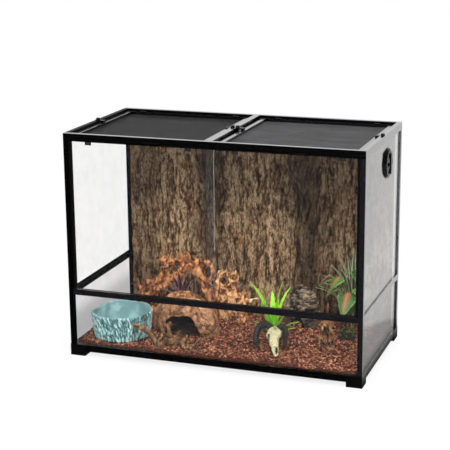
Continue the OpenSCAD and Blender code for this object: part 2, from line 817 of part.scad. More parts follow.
// The face is a grid of points; four more make the flat back
module bark_panel() color([0.4, 0.31, 0.22]) {
    last = bark_index(bark_columns, bark_rows);
    polyhedron(
        concat(
            [for (j = [0:bark_rows]) for (i = [0:bark_columns])
                let (x = bark_half_w * (2 * i / bark_columns - 1),
                    z = floor_top + (bark_top - floor_top) * j / bark_rows)
                [x, bark_front + furrow(x, z), z]],
            [[-bark_half_w, bark_back, floor_top], [bark_half_w, bark_back, floor_top],
                [bark_half_w, bark_back, bark_top], [-bark_half_w, bark_back, bark_top]]
        ),
        concat(
            [for (j = [0:bark_rows - 1]) for (i = [0:bark_columns - 1])
                [bark_index(i, j), bark_index(i, j + 1), bark_index(i + 1, j + 1)]],
            [for (j = [0:bark_rows - 1]) for (i = [0:bark_columns - 1])
                [bark_index(i, j), bark_index(i + 1, j + 1), bark_index(i + 1, j)]],
            [[last + 2, last + 3, last + 4, last + 1]],
            [concat([last + 4, last + 3], [for (i = [bark_columns:-1:0]) bark_index(i, bark_rows)])],
            [concat([for (i = [0:bark_columns]) bark_index(i, 0)], [last + 2, last + 1])],
            [concat([last + 1, last + 4], [for (j = [bark_rows:-1:0]) bark_index(0, j)])],
            [concat([for (j = [0:bark_rows]) bark_index(bark_columns, j)], [last + 3, last + 2])]
        ),
        convexity = 10
    );
}

// The substrate falls a little towards the front glass
module substrate() color([0.48, 0.25, 0.18])
    along_x(-in_x + loose_play, in_x - loose_play) polygon([
        [-in_y + loose_play, floor_top],
        [bark_front - loose_play, floor_top],
        [bark_front - loose_play, substrate_top],
        [-in_y + loose_play + slope_w, substrate_top],
        [-in_y + loose_play, substrate_top - slope_h]
    ]);

// ---- Water bowl ----

// A round that is cut a little flat on one side, as the bowl's rim is
module bowl_round(r) intersection() {
    circle(r = r, $fn = 40);
    translate([(bowl_cut - 2) * r, -r]) square(2 * r);
}

module water_bowl() color([0.5, 0.71, 0.69]) translate([bowl_x, bowl_y, substrate_top]) difference() {
    hull() {
        linear_extrude(over) bowl_round(bowl_base_r);
        translate([0, 0, bowl_h - over]) linear_extrude(over) bowl_round(bowl_r);
    }
    hull() {
        translate([0, 0, bowl_wall]) linear_extrude(over) bowl_round(bowl_base_r - 2 * bowl_wall);
        translate([0, 0, bowl_h]) linear_extrude(over) bowl_round(bowl_r - bowl_wall);
    }
}

// ---- Hides ----

// A dome with a wall, standing on its cut base
module dome(w, d, h, wall) difference() {
    scale([w / 2, d / 2, h]) sphere(r = 1, $fn = 32);
    scale([w / 2 - wall, d / 2 - wall, h - wall]) sphere(r = 1, $fn = 32);
}

// An arched doorway that runs out to the front
module doorway(w, h, reach) scale([w / 2, 1, h]) rotate([90, 0, 0]) cylinder(r = 1, h = reach, $fn = 24);

// The cave's doorway leans: upright on the left, highest past the middle, and a long slope on the right
cave_arch = [
    [-0.5, -0.1], [-0.5, 0.5], [-0.44, 0.74], [-0.32, 0.9], [-0.14, 0.97], [0.04, 1], [0.14, 0.94],
    [0.24, 0.76], [0.5, 0], [0.5, -0.1]
];

module cave_doorway() rotate([90, 0, 0]) linear_extrude(cave_d)
    polygon([for (p = cave_arch) [cave_door_w * p[0], cave_door_h * p[1]]]);

module cave_hide() color([0.6, 0.44, 0.28]) on_substrate()
    translate([cave_x, cave_y, substrate_top]) rotate([0, 0, cave_turn]) difference() {
        dome(cave_w, cave_d, cave_h, cave_wall);
        translate([cave_door_off, 0, 0]) cave_doorway();
    }

module rock_hide() color([0.27, 0.25, 0.25]) on_substrate()
    translate([rock_x, rock_y, substrate_top]) difference() {
        dome(rock_w, rock_d, rock_h, rock_wall);
        translate([rock_door_off, 0, 0]) doorway(rock_door_w, rock_door_h, rock_d);
    }

// ---- Driftwood and roots ----

// The limbs start below the substrate's face, where they are cut flat
root_dip = -8;

module driftwood_left() color([0.72, 0.46, 0.25]) on_substrate() stood(tangle_x, tangle_y, tangle_h, 204) {
    limb([[-128, -8, root_dip], [-104, -6, 34], [-66, -8, 84], [-40, -12, 140], [-36, -14, 200]],
        [15, 13, 12, 9, 4]);
    limb([[-104, -6, 34], [-122, 2, 62], [-134, 0, 92]], [11, 8, 4]);
    limb([[-66, -8, 84], [-20, -10, 112], [30, -16, 152], [58, -18, 198]], [11, 12, 10, 5]);
    limb([
        [30, -16, 152], [62, -22, 186], [92, -22, 152], [122, -24, 92], [132, -22, 40], [134, -20, root_dip]
    ], [9, 11, 13, 13, 12, 15]);
    limb([[92, -22, 152], [108, -18, 178], [112, -16, 204]], [8, 6, 3]);
    limb([[-20, -10, 112], [-28, -20, 158], [-6, -24, 186]], [9, 7, 4]);
    limb([[-66, -8, 84], [-84, 18, 60], [-70, 34, root_dip]], [8, 9, 12]);
    limb([[-40, -12, 140], [-4, -14, 176], [40, -18, 190], [72, -20, 182]], [8, 9, 10, 8]);
}

module driftwood_center() color([0.72, 0.46, 0.25]) on_substrate()
    stood(cluster_x, cluster_y, cluster_h, 166) {
        limb([[-44, 4, root_dip], [-42, -4, 58], [-52, -8, 112], [-55, -6, 166]], [15, 12, 9, 4]);
        limb([[-14, 4, root_dip], [-10, -8, 52], [-2, -10, 102], [12, -6, 152]], [15, 12, 9, 4]);
        limb([[-42, -4, 58], [-12, -8, 78], [26, -6, 76], [58, -2, 62]], [9, 10, 9, 5]);
        limb([[30, 4, root_dip], [30, -6, 40], [26, -6, 76], [40, -2, 112]], [14, 11, 9, 4]);
        limb([[-10, -8, 52], [14, -20, 20], [34, -26, root_dip]], [9, 8, 10]);
    }

// Three loose roots: one beside the bowl, one before the cave, and a curved one in front
module root_pieces() color([0.6, 0.44, 0.26]) on_substrate() stood(bowl_x, -in_y, roots_h, 75) {
    limb([[152, 24, root_dip], [142, 26, 18], [118, 24, 44], [92, 20, 58], [74, 17, 66]], [6, 7, 8, 8, 7]);
    limb([[118, 24, 44], [128, 34, 22], [134, 38, root_dip]], [6, 6, 7]);
    limb([[142, 26, 18], [158, 32, 34], [160, 36, 48]], [5, 4, 3]);
    limb([[182, 52, root_dip], [178, 54, 24], [172, 56, 56], [178, 54, 74]], [7, 6, 5, 3]);
    limb([[172, 56, 56], [160, 52, 68]], [5, 3]);
    limb([[200, 40, root_dip], [196, 44, 14], [178, 54, 24]], [6, 6, 5]);
    limb([[232, 60, 34], [226, 40, 16], [240, 28, 4], [262, 36, 10], [276, 56, 30]], [3, 5, 6, 5, 3]);
    limb([[240, 28, 6], [240, 30, root_dip]], [5, 6]);
}

// A stump that stands on three roots, with a thin stick behind it
module stump() color([0.5, 0.35, 0.22]) on_substrate() stood(stump_x, stump_y, stump_h, 160) {
    limb([[-20, -4, root_dip], [-13, -2, 34], [-4, 0, 84]], [6, 9, 15]);
    limb([[20, -2, root_dip], [13, -2, 38], [4, 0, 88]], [6, 9, 14]);
    limb([[-2, 14, root_dip], [0, 8, 34], [0, 0, 78]], [7, 9, 13]);
    limb([[0, 0, 70], [3, 4, 118], [2, 6, 160]], [4, 3.5, 2.5]);
}

// ---- Ornaments and plants ----

// A ram's skull that leans back, its muzzle on the substrate, with a curled horn on each side
module ram_skull() color([0.88, 0.86, 0.7]) on_substrate() stood(skull_x, skull_y, skull_h, 86) {
    hull() {
        translate([0, 4, 54]) sphere(r = 21, $fn = 20);
        translate([6, -14, 34]) sphere(r = 17, $fn = 20);
        translate([20, -42, 5]) sphere(r = 8, $fn = 16);
    }
    limb([[-8, 8, 66], [-34, 10, 76], [-54, 6, 60], [-58, 2, 30], [-50, 0, root_dip]], [9, 10, 9, 8, 5],
        sides = 8, ref = [0, 1, 0]);
    limb([[8, 10, 66], [20, 18, 74], [28, 22, 56], [27, 22, 28], [21, 20, root_dip]], [9, 9, 9, 8, 5],
        sides = 8, ref = [0, 1, 0]);
}

// A rosette of sword-shaped leaves: each leaf is turned, thrown out and raised by its own amount
bromeliad_leaves = [
    [180, 74, 182], [20, 30, 190], [48, 62, 165], [110, 46, 150], [140, 70, 96],
    [-8, 88, 76], [212, 62, 70], [75, 34, 128], [258, 26, 92], [-38, 50, 84]
];

module bromeliad() color([0.4, 0.75, 0.15]) on_substrate()
    stood(bromeliad_x, bromeliad_y, bromeliad_h, 190) {
        translate([0, 0, root_dip]) cylinder(r1 = 10, r2 = 13, h = 34, $fn = 12);
        for (leaf = bromeliad_leaves) rotate([0, 0, leaf[0]])
            blade(arc_path([4, 0, 12], [leaf[1] * 0.3, 0, leaf[2] * 0.75], [leaf[1], 0, leaf[2]], 6),
                [6, 8.5, 9, 8.5, 7, 4.5, 0.8]);
    }

// Strap leaves that arch out of one clump: turn, reach and height of each leaf's tip
strap_leaves = [
    [100, 16, 262], [60, 46, 252], [130, 52, 236], [20, 60, 214], [160, 84, 196], [-30, 62, 190],
    [175, 116, 132], [195, 120, 138], [215, 92, 162], [-60, 66, 168]
];

// Spear-shaped leaves on stalks: place of the leaf's stalk end, its turn, and its length
spear_leaves = [
    [[12, -74, 142], -95, 62], [[40, -66, 164], -60, 58], [[-72, -6, 176], 200, 56],
    [[-34, -40, 182], 235, 50], [[20, -20, 204], -80, 52]
];

// Half width of a spear-shaped leaf along its length
function spear_half(t, size) = size * 0.42 * pow(sin(180 * pow(t, 0.62)), 0.8) + 0.5;

module right_clump() {
    translate([0, 0, root_dip]) cylinder(r1 = 16, r2 = 11, h = 30, $fn = 12);
    for (leaf = strap_leaves) rotate([0, 0, leaf[0]])
        blade(arc_path([3, 0, 10], [leaf[1] * 0.25, 0, leaf[2] * 0.9], [leaf[1], 0, leaf[2]], 7),
            [4, 5, 5.5, 5.5, 5, 4, 3, 0.8]);
    for (leaf = spear_leaves) {
        limb(arc_path([0, 0, 14], [leaf[0][0] * 0.2, leaf[0][1] * 0.2, leaf[0][2] * 0.7], leaf[0], 4),
            [3, 2.2, 2, 1.8, 1.6], sides = 5);
        translate(leaf[0]) rotate([0, 0, leaf[1]])
            blade([for (i = [0:6]) let (t = i / 6) [leaf[2] * (0.75 * t - 0.1), 0, -leaf[2] * 0.62 * t * t]],
                [for (i = [0:6]) spear_half(i / 6, leaf[2])]);
    }
}

// A low tuft between the cave and the driftwood: turn, reach and height of each leaf
tuft_leaves = [
    [185, 50, 112], [174, 30, 138], [354, 20, 150], [6, 50, 128], [0, 34, 144], [200, 42, 92], [-15, 50, 96],
    [180, 12, 156]
];

module left_tuft() {
    translate([0, 0, root_dip]) cylinder(r1 = 12, r2 = 9, h = 30, $fn = 12);
    for (leaf = tuft_leaves) rotate([0, 0, leaf[0]])
        blade(arc_path([2, 0, 10], [leaf[1] * 0.3, 0, leaf[2] * 0.8], [leaf[1], 0, leaf[2]], 5),
            [4, 6, 6, 5, 4, 0.8]);
}

module leafy_plants() color([0.2, 0.42, 0.18]) on_substrate() {
    stood(leafy_x, leafy_y, leafy_h, 262) right_clump();
    stood(tuft_x, tuft_y, tuft_h, 156) left_tuft();
}

// A low stone, rounded and set flat
module mossy_stone() color([0.24, 0.26, 0.14]) on_substrate() translate([moss_x, moss_y, substrate_top])
    scale([moss_w / 2, moss_d / 2, moss_h]) sphere(r = 1, $fn = 24);

// ---- The assembly ----

base_rail_front();
base_rail_rear();
base_rail_left();
base_rail_right();
foot_front_left();
foot_front_right();
foot_rear_left();
foot_rear_right();
floor_glass();
post_front_left();
post_front_right();
post_rear_left();
post_rear_right();
mid_rail_front();
mid_rail_rear();
mid_rail_left();
mid_rail_right();
top_rail_front();
top_rail_rear();
top_rail_left();
top_rail_right();
center_bar();
lower_glass_front();
lower_glass_rear();
lower_glass_left();
lower_glass_right();
upper_glass_rear();
upper_glass_left();
upper_glass_right();
door_glass_left();
door_glass_right();
door_track_top();
door_track_bottom();
door_jambs();
lid_rails_left();
lid_fittings_left();
lid_screen_left();
lid_rails_right();
lid_fittings_right();
lid_screen_right();
latch_left();
latch_center_left();
latch_center_right();
latch_right();
vent_flange();
vent_nut();
vent_dial();
bark_panel();
substrate();
water_bowl();
cave_hide();
driftwood_left();
driftwood_center();
root_pieces();
ram_skull();
bromeliad();
leafy_plants();
rock_hide();
mossy_stone();
stump();
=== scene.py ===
"""Glass terrarium with sliding doors and screen lids: the looks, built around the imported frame."""

import math

import bpy
import numpy as np
from mathutils import Matrix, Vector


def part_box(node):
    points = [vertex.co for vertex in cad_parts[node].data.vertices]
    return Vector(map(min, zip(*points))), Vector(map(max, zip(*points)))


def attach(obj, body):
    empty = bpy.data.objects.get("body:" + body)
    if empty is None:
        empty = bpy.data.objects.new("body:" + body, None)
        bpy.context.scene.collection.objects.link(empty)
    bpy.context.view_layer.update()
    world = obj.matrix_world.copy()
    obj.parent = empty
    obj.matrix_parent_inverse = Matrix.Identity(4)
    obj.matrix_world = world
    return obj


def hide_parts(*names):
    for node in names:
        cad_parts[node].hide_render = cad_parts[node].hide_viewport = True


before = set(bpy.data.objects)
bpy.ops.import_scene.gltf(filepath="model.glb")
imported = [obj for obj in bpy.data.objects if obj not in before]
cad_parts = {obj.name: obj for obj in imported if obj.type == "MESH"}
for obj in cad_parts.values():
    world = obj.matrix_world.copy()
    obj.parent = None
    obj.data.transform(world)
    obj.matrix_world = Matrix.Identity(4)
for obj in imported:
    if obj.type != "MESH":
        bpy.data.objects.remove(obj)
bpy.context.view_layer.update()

# ---- Camera ----
# Where the photograph was taken from: to the right of the terrarium and above it, with a long lens.

camera_place = (1.27144, -3.69129, 1.41387)
camera_yaw, camera_pitch, camera_roll = 19.4969, 14.7194, -0.5181
camera = bpy.data.objects.new("camera", bpy.data.cameras.new("camera"))
camera.data.lens = 105.93
camera.matrix_world = (
    Matrix.Translation(camera_place)
    @ Matrix.Rotation(math.radians(camera_yaw), 4, "Z")
    @ Matrix.Rotation(math.radians(90 - camera_pitch), 4, "X")
    @ Matrix.Rotation(math.radians(camera_roll), 4, "Z")
)
bpy.context.collection.objects.link(camera)
bpy.context.scene.camera = camera
bpy.context.scene.view_settings.view_transform = "Standard"

# ---- Studio ----
# A white sweep behind and under the object, and four soft lamps: a key at the front right, a fill at the
# left, one above and one behind. Reflections see the sweep at the back and a dark room in front.


def add(tree, kind, settings=None, **inputs):
    """One shader node. Settings are its attributes, inputs its sockets by name, or by number as _0 and _1:
    a value is set, and an output or a mask is linked."""
    made = tree.nodes.new("ShaderNode" + kind)
    for key, value in (settings or {}).items():
        setattr(made, key, value)
    for key, value in inputs.items():
        socket = made.inputs[int(key[1:])] if key[0] == "_" else made.inputs[key.replace("_", " ")]
        value = getattr(value, "socket", value)
        if isinstance(value, bpy.types.NodeSocket):
            tree.links.new(value, socket)
        else:
            socket.default_value = value
    return made


def maths(tree, operation, *values, held=True):
    """One arithmetic step on masks or numbers, with its result held between 0 and 1 unless told otherwise."""
    inputs = {f"_{i}": value for i, value in enumerate(values)}
    return Mask(add(tree, "Math", {"operation": operation, "use_clamp": held}, **inputs).outputs[0])


class Mask:
    """A number that changes over a surface or from ray to ray. Sums, differences and products of masks are
    shader nodes, and | takes the larger of two."""

    def __init__(self, socket):
        self.socket, self.tree = socket, socket.id_data

    def __add__(self, other):
        return maths(self.tree, "ADD", self, other)

    def __sub__(self, other):
        return maths(self.tree, "SUBTRACT", self, other)

    def __rsub__(self, other):
        return maths(self.tree, "SUBTRACT", other, self)

    def __mul__(self, other):
        return maths(self.tree, "MULTIPLY", self, other)

    def __or__(self, other):
        return maths(self.tree, "MAXIMUM", self, other)

    def span(self, low, high, first=0.0, last=1.0):
        """Where the mask lies from low to high, eased at both ends, as a number from first to last."""
        ends = {"From_Min": low, "From_Max": high, "To_Min": first, "To_Max": last}
        eased = add(self.tree, "MapRange", {"interpolation_type": "SMOOTHSTEP"}, Value=self, **ends)
        return Mask(eased.outputs["Result"])

    def near(self, middle, half):
        """1 where the mask is at the middle, easing to 0 at half away from it on both sides."""
        return self.span(middle - half, middle) * self.span(middle + half, middle)


def axes(tree, node, output):
    """X, Y and Z of the vector that a node puts out."""
    found = add(tree, "SeparateXYZ", Vector=add(tree, node).outputs[output]).outputs
    return {axis: Mask(found[axis]) for axis in "XYZ"}


def light_path(tree):
    """The kinds of ray, whether a ray has met no matt surface yet, and whether the camera sees by it."""
    rays = {name: Mask(socket) for name, socket in add(tree, "LightPath").outputs.items()}
    direct = rays["Diffuse Depth"].span(0.6, 0.4)
    return rays, direct, (rays["Is Camera Ray"] | rays["Is Transmission Ray"]) * direct


white = (1, 1, 1, 1)
ambient = 0.46
world = bpy.data.worlds.new("studio")
world.use_nodes = True
bpy.context.scene.world = world
tree = world.node_tree
tree.nodes.clear()
room = axes(tree, "TexCoord", "Generated")["Y"].span(-0.25, 0.2, 0.004, 1.0)
rays, direct, seen = light_path(tree)
mirror = rays["Is Glossy Ray"] * direct
plain = (1.0 - (seen | mirror)) * ambient
sky = add(tree, "Background", Color=white, Strength=(seen | mirror * room) + plain)
tree.links.new(sky.outputs[0], add(tree, "OutputWorld").inputs[0])

# The floor is white to the camera but keeps the shadow under the object. Mirrored in the panes and bars it is
# dark close to the object and pale further off at its right.
floor_half, floor_drop = 40.0, 0.0005
floor_mesh = bpy.data.meshes.new("floor")
floor_corners = [(x, y, -floor_drop) for x, y in ((-floor_half, -floor_half), (floor_half, -floor_half),
                                                  (floor_half, floor_half), (-floor_half, floor_half))]
floor_mesh.from_pydata(floor_corners, [], [(0, 1, 2, 3)])
floor = bpy.data.objects.new("floor", floor_mesh)
bpy.context.collection.objects.link(floor)
floor_paper = bpy.data.materials.new("floor_paper")
floor_paper.use_nodes = True
tree = floor_paper.node_tree
tree.nodes.clear()
spot = add(tree, "TexCoord").outputs["Object"]
away = Mask(add(tree, "VectorMath", {"operation": "LENGTH"}, _0=spot).outputs["Value"])
slant = add(tree, "VectorMath", {"operation": "DOT_PRODUCT"}, _0=spot, _1=(0.866, 0.5, 0)).outputs["Value"]
beside = axes(tree, "TexCoord", "Object")["X"].span(0.46, 0.5, 0.012, 0.5)
rays, direct, seen = light_path(tree)
paper = add(tree, "BsdfDiffuse", Color=(0.92, 0.92, 0.92, 1))
lift = add(tree, "Emission", Color=white)
lit = add(tree, "MixShader", Fac=seen * away.span(0.3, 1.1, 0.8, 1.0),
          _1=paper.outputs[0], _2=lift.outputs[0])
mirrored = add(tree, "Emission", Color=white, Strength=beside | Mask(slant).span(0.58, 0.66, 0.0, 0.9))
in_mirror = rays["Is Glossy Ray"] - rays["Is Transmission Ray"]
shown = add(tree, "MixShader", Fac=in_mirror, _1=lit.outputs[0], _2=mirrored.outputs[0])
tree.links.new(shown.outputs[0], add(tree, "OutputMaterial").inputs[0])
floor_mesh.materials.append(floor_paper)

# Each lamp's name, place, size and power
lamps = [
    ("rear", (0.3, 2.7, 1.7), 1.8, 26), ("key", (1.2, -2.5, 2.6), 1.1, 86),
    ("fill", (-2.2, -2.0, 1.6), 1.6, 18), ("top", (0.1, 0.1, 2.6), 1.2, 35),
]
lamp_aim = 0.25
for lamp_name, lamp_place, lamp_size, lamp_power in lamps:
    lamp = bpy.data.objects.new(lamp_name, bpy.data.lights.new(lamp_name, "AREA"))
    lamp.data.energy = lamp_power
    lamp.data.size = lamp_size
    lamp.location = lamp_place
    aim = -lamp.location
    aim.z += lamp_aim
    lamp.rotation_euler = aim.to_track_quat("-Z", "Y").to_euler()
    lamp.visible_glossy = False
    bpy.context.collection.objects.link(lamp)

# ---- Frame ----
# Square aluminium extrusions, powder coated in satin black, pushed onto moulded plastic corner feet.
# The coat is smooth, with a faint orange-peel skin, draw lines along each bar and paler worn edges.


def tint(code):
    """A colour from its six hexadecimal digits, as the linear values that a shader reads."""
    share = np.array([int(code[i:i + 2], 16) for i in (0, 2, 4)]) / 255
    linear = np.where(share <= 0.04045, share / 12.92, ((share + 0.055) / 1.055) ** 2.4)
    return (*linear.tolist(), 1.0)


def material(name, **inputs):
    """An empty finish: its material, its tree and its shader, with plain values on the shader's sockets."""
    made = bpy.data.materials.new(name)
    made.use_nodes = True
    made.node_tree.nodes.clear()
    shader = add(made.node_tree, "BsdfPrincipled", **inputs)
    made.node_tree.links.new(shader.outputs[0], add(made.node_tree, "OutputMaterial").inputs[0])
    return made, made.node_tree, shader


def feed(shader, **outputs):
    """Links outputs or masks to a shader's sockets."""
    for key, output in outputs.items():
        shader.id_data.links.new(getattr(output, "socket", output), shader.inputs[key.replace("_", " ")])


def cloud(tree, cells, detail=4.0, rough=0.55, stretch=(1, 1, 1)):
    """Soft noise between 0 and 1 over a piece: its cells a metre, and the factor on each coordinate."""
    place = add(tree, "Mapping", Vector=add(tree, "TexCoord").outputs["Object"], Scale=stretch).outputs[0]
    made = add(tree, "TexNoise", Vector=place, Scale=cells, Detail=detail, Roughness=rough)
    return Mask(made.outputs["Fac"])


def blend_of(share, first, second, how="MIX"):
    """Two colours mixed by a share, each given by its digits or as an output."""
    first, second = (tint(colour) if isinstance(colour, str) else colour for colour in (first, second))
    settings = {"data_type": "RGBA", "blend_type": how}
    return add(share.tree, "Mix", settings, _0=share, _6=first, _7=second).outputs[2]


def ramp(share, *stops):
    """Colours along a share: each stop is a place and a colour."""
    made = add(share.tree, "ValToRGB", Fac=share)
    points = made.color_ramp.elements
    while len(points) < len(stops):
        points.new(0.5)
    for point, (where, code) in zip(points, stops):
        point.position = where
        point.color = tint(code)
    return made.outputs[0]


def skin(shader, colour, grain, rough, depth, height=None, ends=(0.3, 0.7)):
    """Feeds a shader its colour, a roughness that follows a grain between its ends, and a normal from a
    height, which is the grain unless another is given, with its depth in metres."""
    raised = add(shader.id_data, "Bump", Height=height or grain, Distance=depth)
    feed(shader, Base_Color=colour, Roughness=grain.span(*ends, *rough), Normal=raised.outputs[0])


def effect(name, output, **inputs):
    """An empty node group with number inputs and one output; returns the group, its inputs and its end."""
    group = bpy.data.node_groups.new(name, "ShaderNodeTree")
    for socket, value in inputs.items():
        made = group.interface.new_socket(socket, in_out="INPUT", socket_type="NodeSocketFloat")
        made.default_value = value
    group.interface.new_socket(output, in_out="OUTPUT", socket_type="NodeSocketFloat")
    return group, group.nodes.new("NodeGroupInput").outputs, group.nodes.new("NodeGroupOutput").inputs[output]


edge_wear, wear_in, wear_end = effect("edge_wear", "Wear", Radius=0.001, Patches=60.0)
rounded = add(edge_wear, "Bevel", {"samples": 4}, Radius=wear_in["Radius"]).outputs[0]
facing = add(edge_wear, "NewGeometry").outputs["Normal"]
near_edge = add(edge_wear, "VectorMath", {"operation": "DOT_PRODUCT"}, _0=rounded, _1=facing).outputs["Value"]
worn = Mask(near_edge).span(0.999, 0.93) * cloud(edge_wear, wear_in["Patches"], 3.0, 0.5).span(0.42, 0.62)
edge_wear.links.new(worn.socket, wear_end)

dust_fall, dust_in, dust_end = effect("dust_fall", "Dust", Amount=0.2, Cells=40.0)
specks = cloud(dust_fall, dust_in["Cells"], 6.0, 0.5).span(0.3, 0.8)
lying = axes(dust_fall, "NewGeometry", "Normal")["Z"].span(0.5, 1.0) * specks
dust_fall.links.new((lying * dust_in["Amount"]).socket, dust_end)


def use(tree, group, **values):
    """A shared effect placed in a finish with its own values."""
    return Mask(add(tree, "Group", {"node_tree": group}, **values).outputs[0])


def black_coat(name, colour, gloss, peel, draw=(1, 1, 1), shine=1.0):
    """Black coat over metal or plastic: colour, roughness, the depth of its skin, the stretch of its draw
    lines and the share of its shine."""
    made, tree, shader = material(name, Specular_IOR_Level=0.75 * shine, Coat_Weight=0.85 * shine,
                                  Coat_Roughness=0.09, Coat_IOR=1.6)
    lines = cloud(tree, 160, 3, stretch=draw)
    coat = blend_of(lines * 0.08, colour, "0c0c10")
    coat = blend_of(use(tree, edge_wear, Radius=0.0012, Patches=45.0) * 0.05, coat, "3c3c40")
    coat = blend_of(use(tree, dust_fall, Amount=0.004, Cells=60.0), coat, "a9a49c")
    skin(shader, coat, lines, (gloss - 0.02, gloss + 0.03), peel, cloud(tree, 400, 2), (0.2, 0.8))
    return made


def dress(finish, *nodes):
    """Gives CAD nodes a finish in all their material slots."""
    for name in nodes:
        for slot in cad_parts[name].material_slots:
            slot.material = finish


sides = ("front", "rear", "left", "right")
rails = [f"{kind}_rail_{side}" for kind in ("base", "mid", "top") for side in sides]
right_rails = [rail for rail in rails if rail.endswith("right")]
corners = [f"{end}_{side}" for end in ("front", "rear") for side in ("left", "right")]
posts = ["post_" + corner for corner in corners]
along_x, along_y, along_z = (0.05, 1, 1), (1, 0.05, 1), (1, 1, 0.1)
dress(black_coat("rail_coat", "020203", 0.26, 0.000002, along_x), *rails)
dress(black_coat("side_rail_coat", "020203", 0.26, 0.000002, along_y), *right_rails)
# Painted light: the front mid rail and the front right post get paler copies of the same black coat.
dress(black_coat("mid_rail_coat_painted_light", "14141a", 0.26, 0.000002, along_x), "mid_rail_front")
dress(black_coat("post_coat", "030305", 0.26, 0.000008, along_z), "center_bar", *posts)
dress(black_coat("post_coat_painted_light", "15151a", 0.26, 0.000004, along_z), "post_front_right")
dress(black_coat("dull_coat", "030304", 0.5, 0.00001, along_z, 0.06), "post_front_left", "base_rail_left",
      "top_rail_left")
dress(black_coat("matt_coat", "020203", 0.6, 0.00001, along_z, 0.0), "post_rear_left", "mid_rail_left")
dress(black_coat("foot_plastic", "040405", 0.34, 0.000016), *["foot_" + corner for corner in corners])
dress(black_coat("track_plastic", "070709", 0.3, 0.00001),
      "door_track_top", "door_track_bottom", "door_jambs")

# ---- Glass ----
# Clear float glass: the fixed panes sit in the bars' grooves, and two polished panes slide as doors.
# Lamps shine through it, faint dust and wiping marks lie on it, and its cut edges look green or grey.


def clear_glass(name, axis, edge, strength, density, tone="ffffff", foot=None):
    """Float glass with wiping marks: the axis that its faces look along, the colour of its cut edges, how
    much they show, the refractive index, which is low for panes that hardly mirror, the tone of its faces,
    and that of their lower part. A grey tone is painted shade on what is seen through the pane, and a
    darker tone on the lower part is painted shade over the bed behind it."""
    made, tree, shader = material(name, Transmission_Weight=1.0, IOR=density, Specular_IOR_Level=0.5)
    cut = 1.0 - maths(tree, "ABSOLUTE", axes(tree, "NewGeometry", "Normal")[axis])
    low = axes(tree, "TexCoord", "Object")["Z"].span(0.165, 0.1)
    smear = cloud(tree, 22, 7, 0.75, (1, 1, 0.7)).span(0.4, 0.7)
    face = blend_of(smear * 0.07, blend_of(low, tone, foot or tone), "a8a39c")
    feed(shader, Base_Color=blend_of(cut * strength, face, edge),
         Roughness=cloud(tree, 9, 5, stretch=(1, 1, 0.25)).span(0.45, 0.85, 0.0, 0.012))
    clear = add(tree, "BsdfTransparent", Color=(0.96, 0.97, 0.965, 1))
    through = add(tree, "LightPath").outputs["Is Shadow Ray"]
    shown = add(tree, "MixShader", Fac=through, _1=shader.outputs[0], _2=clear.outputs[0])
    tree.links.new(shown.outputs[0], [n for n in tree.nodes if n.type == "OUTPUT_MATERIAL"][0].inputs[0])
    return made


# Painted shade: the grey tones on the lower, left, front and rear panes, darker low on the lower side panes,
# dim what is seen through them.
dress(clear_glass("bottom_glass", "Z", "5f9a86", 0.7, 1.47), "floor_glass")
dress(clear_glass("pane_glass", "X", "5f9a86", 0.7, 1.47), "upper_glass_right")
dress(clear_glass("lower_pane_glass", "X", "5f9a86", 0.7, 1.47, "e2e2e2", "b0b0b0"), "lower_glass_right")
dress(clear_glass("faint_glass", "X", "7f9a92", 0.7, 1.16), "upper_glass_left")
dress(clear_glass("left_glass_painted_shade", "X", "7f9a92", 0.7, 1.16, "ebe9e8", "c0bebd"), "lower_glass_left")
dress(clear_glass("front_glass", "Y", "7f9a92", 0.8, 1.3, "f4f5f7"), "lower_glass_front")
dress(clear_glass("rear_glass", "Y", "5f9a86", 0.7, 1.3, "c0c4c6"), "upper_glass_rear", "lower_glass_rear")
dress(clear_glass("door_pane_glass", "Y", "5c5c54", 0.9, 1.25), "door_glass_left", "door_glass_right")

# ---- Screen lids ----
# Each lid is a frame of coated bars with plastic corner pieces, clip heads, legs and a lug at each end.
# Its screen is a net of thin black wires in two layers, welded where they cross.

dress(black_coat("lid_coat", "09090b", 0.24, 0.000008, shine=0.8), "lid_rails_left", "lid_rails_right")
dress(black_coat("fitting_plastic", "050506", 0.36, 0.000012, shine=0.2),
      "lid_fittings_left", "lid_fittings_right")
dress(black_coat("latch_plastic", "060607", 0.4, 0.000012, shine=0.3),
      *["latch_" + n for n in ("left", "center_left", "center_right", "right")])


def piece(name, vertices, faces, finish, slot, body="case", replaces=(), smooth=True, **marks):
    """A mesh piece from arrays of vertices and faces, with its finish, its slot, which is not used, its body
    and the nodes that it stands for. Each mark is a value stored on every vertex, which the finish reads by
    name."""
    mesh = bpy.data.meshes.new(name)
    mesh.from_pydata(np.asarray(vertices).tolist(), [], [list(map(int, face)) for face in faces])
    mesh.polygons.foreach_set("use_smooth", np.full(len(mesh.polygons), smooth))
    for mark, values in marks.items():
        mesh.attributes.new(mark, "FLOAT", "POINT").data.foreach_set("value", np.asarray(values, np.float32))
    mesh.materials.append(finish)
    made = bpy.data.objects.new(name, mesh)
    bpy.context.collection.objects.link(made)
    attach(made, body)
    if replaces:
        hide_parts(*replaces)
    return made


def xyz(x, y, z):
    """Points from their three coordinates, each an array or one number for all."""
    return np.stack(np.broadcast_arrays(x, y, z), -1)


wire_pitch, wire_thick, weld_share = 0.0019, 0.00045, 0.2
bar_corners = np.array([[x, y, z] for x in (0, 1) for y in (0, 1) for z in (0, 1)], float)
bar_faces = np.array([[0, 1, 3, 2], [4, 6, 7, 5], [0, 4, 5, 1], [2, 3, 7, 6], [0, 2, 6, 4], [1, 5, 7, 3]])


def bars(corners):
    """Boxes from eight corners each, as vertices and faces."""
    return corners.reshape(-1, 3), (bar_faces + 8 * np.arange(len(corners))[:, None, None]).reshape(-1, 4)
